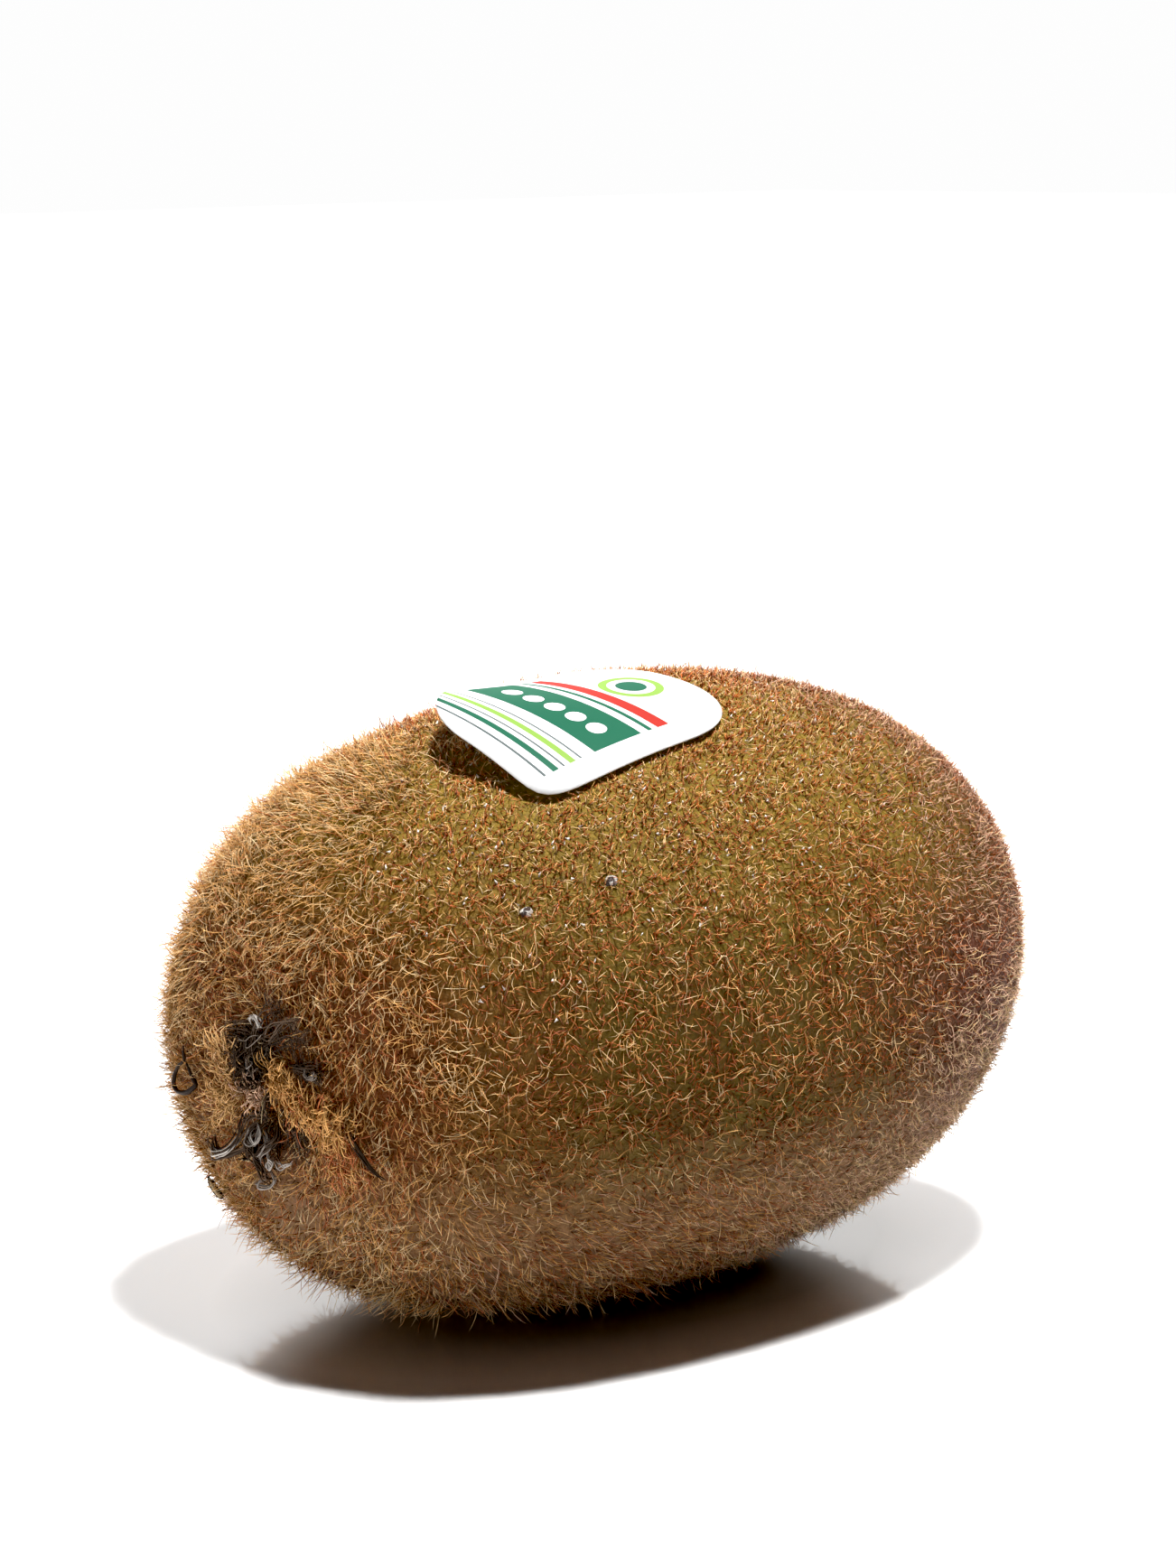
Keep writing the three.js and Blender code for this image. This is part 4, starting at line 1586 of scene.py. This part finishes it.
# The ash-toned bundles here are pale curls that also paint the highlights of the dark styles.
LOWER_BUNDLES = (
    Bundle(((-0.5, 0.3), (-0.5, -0.6), (-0.2, -1.4), (0.3, -2.4)), 12, 0.17, (1.4, 2.2), 0.05,
           Tone.DARK, (0.0, 0.6)),
    Bundle(((-0.2, -1.7), (0.6, -2.0), (2.4, -2.2), (3.0, -3.1), (3.5, -4.3), (4.6, -5.1),
           (6.0, -5.5), (6.6, -4.9), (6.6, -4.4)), 9, 0.18, (1.0, 1.8), 0.062),
    Bundle(((0.2, -2.4), (1.6, -3.4), (2.5, -4.5), (4.0, -5.4), (6.0, -6.0), (7.0, -5.7),
           (7.0, -5.1)), 8, 0.18, (1.0, 1.8), 0.062, Tone.DARK, (0.2, 1.0)),
    Bundle(((2.8, -3.5), (3.5, -4.6), (4.6, -5.4), (5.8, -5.6), (6.4, -5.1)), 5, 0.14, (1.5, 2.1),
           0.055, Tone.ASH, (0.1, 0.8), 0.15),
    Bundle(((0.4, -2.2), (1.7, -3.1), (2.2, -4.2), (1.3, -4.9), (0.2, -5.2)), 10, 0.22, (1.0, 2.0),
           0.062),
    Bundle(((-0.5, -2.2), (-1.0, -3.0), (-0.3, -3.9), (1.0, -4.6), (1.8, -4.4)), 9, 0.20,
           (1.0, 2.0), 0.06),
    Bundle(((1.6, -3.4), (1.4, -4.8), (0.3, -5.8), (-0.2, -6.4), (-0.7, -6.8)), 9, 0.20, (1.0, 1.9),
           0.062),
    Bundle(((1.2, -2.6), (0.6, -3.3), (1.1, -4.0), (1.9, -3.7), (1.6, -3.0)), 5, 0.16, (1.5, 2.2),
           0.055, Tone.ASH, (0.0, 0.6), 0.15),
    Bundle(((0.2, -3.0), (-0.4, -3.8), (0.2, -4.6), (0.9, -5.2)), 4, 0.18, (1.5, 2.1), 0.055,
           Tone.ASH, (0.0, 0.6), 0.15),
    Bundle(((-0.2, -4.3), (-0.8, -4.9), (-1.4, -5.0), (-1.1, -5.5), (-0.7, -5.3), (-1.0, -4.8)), 5,
           0.08, (1.5, 2.2), 0.052, Tone.ASH, (0.5, 1.0), 0.1),
    Bundle(((-1.0, -4.9), (-1.8, -5.1), (-2.6, -5.0), (-3.4, -4.6)), 4, 0.08, (1.4, 2.0), 0.055,
           Tone.ASH, (0.3, 1.0), 0.12),
    Bundle(((-0.4, -5.9), (-1.2, -6.3), (-0.7, -6.9), (0.6, -7.2), (0.7, -6.9), (-0.2, -6.6)), 5,
           0.12, (1.2, 1.9), 0.052, Tone.ASH, (0.0, 0.6), 0.15),
    Bundle(((1.9, -4.6), (2.8, -5.5), (3.4, -5.4)), 7, 0.2, (1.0, 1.6), 0.06, Tone.DARK,
           (0.0, 0.4)),
    Bundle(((-1.2, -2.0), (-2.4, -1.8), (-3.6, -2.2), (-3.9, -3.2), (-3.0, -3.9)), 8, 0.35,
           (0.8, 1.4), 0.042),
)
LOWER_DOWN = (
    Down((0.7, -3.7), (1.7, 1.6), 110, 250, 70, (1.0, 2.2), (0.6, 1.2), 0.036, Tone.DARK,
         (0.0, 0.4)),
    Down((-3.0, -2.8), (1.6, 1.1), 110, 200, 45, (1.0, 2.2), (0.8, 1.3), 0.034, Tone.DARK,
         (0.0, 0.9)),
)
FLECK = Bundle(((10.9, -9.5), (10.1, -10.15), (9.3, -10.6), (8.8, -10.8)), 4, 0.06, (0.7, 1.1),
               0.20, Tone.DARK, (0.0, 0.05), 0.0)
LOOP = Bundle(((9.7, 2.11), (9.75, 1.56), (9.6, 1.11), (9.55, 0.71), (10.25, 0.26), (10.9, -0.44),
              (11.25, -1.04), (11.35, -1.59), (10.95, -1.89), (10.2, -1.89), (9.4, -1.69),
              (8.6, -1.29), (8.0, -0.84), (8.3, -0.49), (8.6, -0.19), (8.85, 0.06), (9.15, 0.36),
              (9.45, 0.66)), 5, 0.055, (1.6, 1.85), 0.125, Tone.DARK, (0.0, 0.25), 0.03)
THREAD = Bundle(((-9.7, -1.0), (-10.4, -1.8), (-11.2, -2.8), (-11.9, -3.75), (-12.6, -4.6)), 4,
                0.05, (1.2, 1.8), 0.065, Tone.DARK, (0.0, 0.35), 0.03)
WOOL = (
    Down((4.4, 1.6), (1.2, 1.9), 90, 80, 60, (1.4, 3.0), (0.9, 2.0), 0.038, Tone.PALE, (0.0, 0.2)),
    Down((4.4, -1.2), (1.6, 1.3), 90, 340, 60, (1.4, 3.0), (0.9, 2.0), 0.038, Tone.PALE,
         (0.0, 0.2)),
    Down((1.4, -0.6), (1.5, 0.6), 70, 60, 80, (1.2, 2.4), (0.9, 1.9), 0.036, Tone.ROSE,
         (0.5, 1.0)),
    Down((-1.2, 1.3), (1.5, 0.8), 90, 160, 60, (1.4, 3.0), (0.9, 2.1), 0.038, Tone.GOLD,
         (0.3, 0.9)),
    Down((-3.9, 0.0), (2.4, 1.0), 110, 190, 45, (1.6, 3.4), (0.9, 2.0), 0.038, Tone.GOLD,
         (0.4, 1.0)),
    Down((-4.1, -0.2), (2.6, 1.2), 35, 200, 50, (1.6, 3.4), (0.8, 1.8), 0.036, Tone.RUST,
         (0.5, 1.0)),
    Down((-7.9, -0.5), (1.8, 1.2), 80, 205, 45, (1.6, 3.0), (0.9, 2.2), 0.036, Tone.GOLD,
         (0.4, 1.0)),
    Down((-8.4, -3.2), (2.4, 1.8), 70, 215, 55, (1.6, 3.0), (0.6, 1.5), 0.036, Tone.RUST,
         (0.4, 0.9)),
    Down((-8.0, -2.8), (2.4, 1.8), 60, 215, 55, (1.6, 3.0), (0.6, 1.5), 0.036, Tone.GOLD,
         (0.2, 0.9)),
)


# ---------- stem button ----------


@dataclass(frozen=True)
class StemButton:
    """Woody button left by the stalk, with a hollow middle and dried sepals round it.

    The profile gives radius and height, from the middle of the underside round to the hollow.
    """

    form: FruitForm
    clearance: float = 0.32
    sepals: int = 5
    steps: int = 48
    merge: float = 1e-4
    leaf: float = 0.22  # thickness of a sepal
    profile: tuple[tuple[float, float], ...] = (
        (0.0, 0.0), (1.5, 0.0), (2.45, 0.05), (2.6, 0.3), (2.62, 1.0), (2.45, 1.32), (2.2, 1.48),
        (1.75, 1.5), (1.35, 1.4), (1.1, 1.0), (0.85, 0.84), (0.0, 0.8),
    )

    def button(self, bm: bmesh.types.BMesh) -> None:
        """Spins the button's profile, closed at both poles, and makes it ragged.

        Args:
            bm: Where it is made, in millimetres.
        """
        verts = [bm.verts.new((r, 0, h)) for r, h in self.profile]
        edges = [bm.edges.new(pair) for pair in zip(verts, verts[1:])]
        bmesh.ops.spin(
            bm, geom=verts + edges, axis=(0, 0, 1), cent=(0, 0, 0), steps=self.steps, angle=TURN,
            use_merge=True,
        )
        bmesh.ops.remove_doubles(bm, verts=bm.verts, dist=self.merge)
        for vert in bm.verts:
            angle = math.atan2(vert.co.y, vert.co.x)
            ragged = 1 + 0.05 * math.sin(7 * angle + 1) + 0.035 * math.sin(17 * angle)
            vert.co.x, vert.co.y = vert.co.x * ragged, vert.co.y * ragged
            vert.co.z *= 1 + 0.12 * noise.noise(vert.co * 1.4)

    def sepal(self, bm: bmesh.types.BMesh, turn: float) -> None:
        """One dried sepal: a grid drawn to a point, cupped along its middle and given a thickness.

        Args:
            bm: Where it is added, in millimetres.
            turn: Angle round the button, which also decides how it differs from the others.
        """
        leaf = bmesh.new()
        bmesh.ops.create_grid(leaf, x_segments=22, y_segments=8, size=1)
        for vert in leaf.verts:
            f, y = (vert.co.x + 1) / 2, vert.co.y
            wide = (0.95 + 0.2 * math.sin(3 * turn)) * math.sin(math.pi * (0.28 + 0.72 * f)) ** 0.8
            ripple = 0.10 * math.sin(9 * f + turn)
            ripple += 0.08 * noise.noise(Vector((f * 5, y * 2, turn)))
            lift = 0.36 + 0.3 * y**2 + ripple + (0.5 + 0.35 * math.sin(7 * turn)) * f**3
            aside = y * wide + 0.7 * math.sin(4 * turn + 1) * f**2
            vert.co = Vector((1.6 + (3.6 + 0.5 * math.sin(5 * turn + 2)) * f, aside, lift))
        bmesh.ops.remove_doubles(leaf, verts=leaf.verts, dist=self.merge)
        bmesh.ops.recalc_face_normals(leaf, faces=leaf.faces)
        bmesh.ops.solidify(leaf, geom=leaf.faces[:], thickness=self.leaf)
        bmesh.ops.rotate(leaf, verts=leaf.verts, matrix=Matrix.Rotation(turn, 3, "Z"))
        mesh = bpy.data.meshes.new("sepal")
        leaf.to_mesh(mesh)
        leaf.free()
        bm.from_mesh(mesh)
        bpy.data.meshes.remove(mesh)

    def build(self) -> bpy.types.Object:
        """Joins the button and sepals and lays them in the dish of the stem end.

        Returns:
            The piece.
        """
        bm = bmesh.new()
        self.button(bm)
        for k in range(self.sepals):
            self.sepal(bm, TURN * k / self.sepals + 0.3)
        y, z, height = np.array([v.co for v in bm.verts]).T
        lay(bm, self.form.end_point(1, y, z, self.clearance + height))
        return link_mesh("stem_button_wood", bm)


# ---------- studio ----------


@dataclass(frozen=True)
class Lamp:
    """A rectangular light that faces the fruit."""

    name: str
    place: tuple[float, float, float]
    size: tuple[float, float]
    power: float
    diffuse: bool = True
    glossy: bool = True

    def build(self) -> None:
        """Hangs the lamp, out of the camera's sight."""
        data = bpy.data.lights.new(self.name, "AREA")
        data.shape = "RECTANGLE"
        data.size, data.size_y = self.size[0] * MM, self.size[1] * MM
        data.energy = self.power
        lamp = link_piece(self.name, data)
        lamp.location = Vector(self.place) * MM
        aim = Vector((0, 0, 20)) * MM - lamp.location
        lamp.rotation_euler = aim.to_track_quat("-Z", "Y").to_euler()
        lamp.visible_camera = False
        lamp.visible_diffuse = self.diffuse
        lamp.visible_glossy = self.glossy


@dataclass(frozen=True)
class Studio:
    """Pale floor, an overhead lamp, bright fields behind and beside, and the camera."""

    camera_place: tuple[float, float, float] = (-195.473, -215.357, 89.186)
    camera_right: tuple[float, float, float] = (0.74448356, -0.66753633, -0.01181055)
    camera_up: tuple[float, float, float] = (0.12443172, 0.12135158, 0.98477944)
    camera_ahead: tuple[float, float, float] = (0.65594282, 0.7346217, -0.17340695)
    lens: float = 87.1
    nearest: float = 0.005  # metres from the camera at which things begin to show
    lamps: tuple[Lamp, ...] = (
        Lamp("overhead_lamp", (54.0, -71.0, 556.0), (60.0, 60.0), 7.0),
        Lamp("bright_field", (1004.0, 1115.0, 350.0), (700.0, 240.0), 50.0, glossy=False),
        Lamp("mirrored_field", (1004.0, 1115.0, 546.0), (950.0, 560.0), 3.3, diffuse=False),
        Lamp("side_field", (-1100.0, 420.0, 14.0), (500.0, 24.0), 5.0),
    )
    floor_half: float = 3000.0
    floor_cells: int = 8
    shade_reach: tuple[float, float] = (36.0, 26.0)  # half length and width of the shade
    glow_from: float = 90.0
    glow_full: float = 260.0
    glow: float = 1.2
    black_point: float = 0.006

    def floor(self) -> None:
        """Smooth pale table top, shaded under the fruit and glowing far from it."""
        bm = bmesh.new()
        cells = self.floor_cells
        bmesh.ops.create_grid(bm, x_segments=cells, y_segments=cells, size=self.floor_half * MM)
        piece = link_mesh("studio_floor", bm)
        material, nodes, shader = new_material("pale_table", roughness=0.04, specular=0.3)
        mask = nodes.add("TexNoise", {"Scale": 40.0, "Vector": nodes.spot()}).outputs[0]
        table = nodes.mix(mask, rgb(0.93, 0.93, 0.93), rgb(0.90, 0.90, 0.90))
        reach = tuple(1 / (half * MM) for half in self.shade_reach)
        clear = nodes.spread(nodes.length(nodes.spot(), (*reach, 0.0)), 0.65, 1.0)
        nodes.link(nodes.mix(clear, rgb(0.52, 0.51, 0.49), table), shader, "Base Color")
        away = nodes.length(nodes.spot(), (1.0, 1.0, 0.0))
        rising = nodes.spread(away, self.glow_from * MM, self.glow_full * MM)
        shader.inputs["Emission Color"].default_value = rgb(1.0, 1.0, 1.0)
        nodes.link(nodes.times(rising, self.glow), shader, "Emission Strength")
        piece.data.materials.append(material)

    def room(self) -> None:
        """The room's own light, dim from below, and white where the camera sees it."""
        world = bpy.data.worlds.new("studio")
        bpy.context.scene.world = world
        world.use_nodes = True
        nodes = Nodes(world.node_tree)
        seen = nodes.add("LightPath").outputs["Is Camera Ray"]
        height = nodes.split(nodes.add("TexCoord").outputs["Generated"])[2]
        overhead = nodes.spread(height, -0.2, 1.0)
        light = nodes.mix(overhead, rgb(0.004, 0.004, 0.004), rgb(0.037, 0.037, 0.039))
        colour = nodes.mix(seen, light, rgb(0.985, 0.985, 0.985))
        nodes.link(colour, nodes.tree.nodes["Background"], "Color")

    def camera(self) -> None:
        """Sets the camera from its fitted place and directions."""
        data = bpy.data.cameras.new("camera")
        data.lens = self.lens
        data.clip_start = self.nearest
        camera = link_piece("camera", data)
        turn = Matrix([self.camera_right, self.camera_up, [-c for c in self.camera_ahead]])
        place = Matrix.Translation(Vector(self.camera_place) * MM)
        camera.matrix_world = place @ turn.transposed().to_4x4()
        bpy.context.scene.camera = camera

    def build(self) -> None:
        """Sets the whole stage."""
        self.floor()
        for lamp in self.lamps:
            lamp.build()
        self.room()
        self.camera()
        view = bpy.context.scene.view_settings
        view.view_transform = "Standard"
        view.use_curve_mapping = True
        view.curve_mapping.black_level = (self.black_point,) * 3
        view.curve_mapping.update()


def main() -> None:
    """Builds the kiwi and its stage, piece by piece."""
    logging.basicConfig(level=logging.INFO, format="%(name)s: %(message)s")
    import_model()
    Studio().build()

    effects = Effects()
    form = FruitForm()
    label = ProduceLabel(form)
    skin = FruitSkin(form)
    bare = SkinFinish("olive_skin", effects, roughness=0.6, specular=0.10).build()
    finish_piece(skin.build(), bare, "fruit")
    crust = ScarFinish("healed_spot", effects, roughness=0.3, specular=0.6).build()
    finish_piece(skin.build_scars(), crust)
    paper = LabelFinish("coated_paper", effects, roughness=0.55, specular=0.08).build()
    finish_piece(label.build(), paper, "produce_label")

    hair = HairFinish("fuzz", effects, 0.45, 0.15, root_shade=0.8, tip_glow=0.10).build()
    stubble = HairFinish("stubble", effects, 0.25, 0.45, root_shade=0.6, tip_glow=0.0).build()
    # finish of the painted glints: no darkening at the root, brighter towards the tip
    glint_paint = HairFinish("glint_paint", effects, 0.2, 0.6, root_shade=0.0, tip_glow=0.5).build()
    fuzz = Fuzz(form, label)
    for coat in COATS:
        finish = {"stubble": stubble, "painted_glint_flecks": glint_paint}.get(coat.name, hair)
        finish_piece(fuzz.grow(coat), finish)
    wool = StyleTuft(form, "blossom_wool", "", 5, downs=WOOL, template=FINE_FIBRE)
    finish_piece(wool.build(), hair)

    fibre = HairFinish("dried_fibre", effects, 0.45, 0.05, root_shade=0.25, tip_glow=0.0).build()
    downs = UPPER_DOWN + SIDE_DOWN + LOWER_DOWN
    for tuft in (
        StyleTuft(form, "styles_upper", "dried_styles_upper", 61, UPPER_BUNDLES),
        StyleTuft(form, "styles_side", "dried_styles_side", 67, SIDE_BUNDLES),
        StyleTuft(form, "styles_lower", "dried_styles_lower", 71, LOWER_BUNDLES),
        StyleTuft(form, "style_down", "", 83, (FLECK,), downs, FINE_FIBRE),
        StyleTuft(form, "style_loop", "stray_style_loop", 73, (LOOP,), template=LOOP_STYLE),
        StyleTuft(form, "style_thread", "stray_style_thread", 79, (THREAD,), template=THREAD_STYLE),
    ):
        finish_piece(tuft.build(), fibre, tuft.replaces)
    wood = WoodFinish("dry_wood", effects, roughness=0.75, specular=0.3).build()
    finish_piece(StemButton(form).build(), wood, "stem_button")


if __name__ == "__main__":
    main()
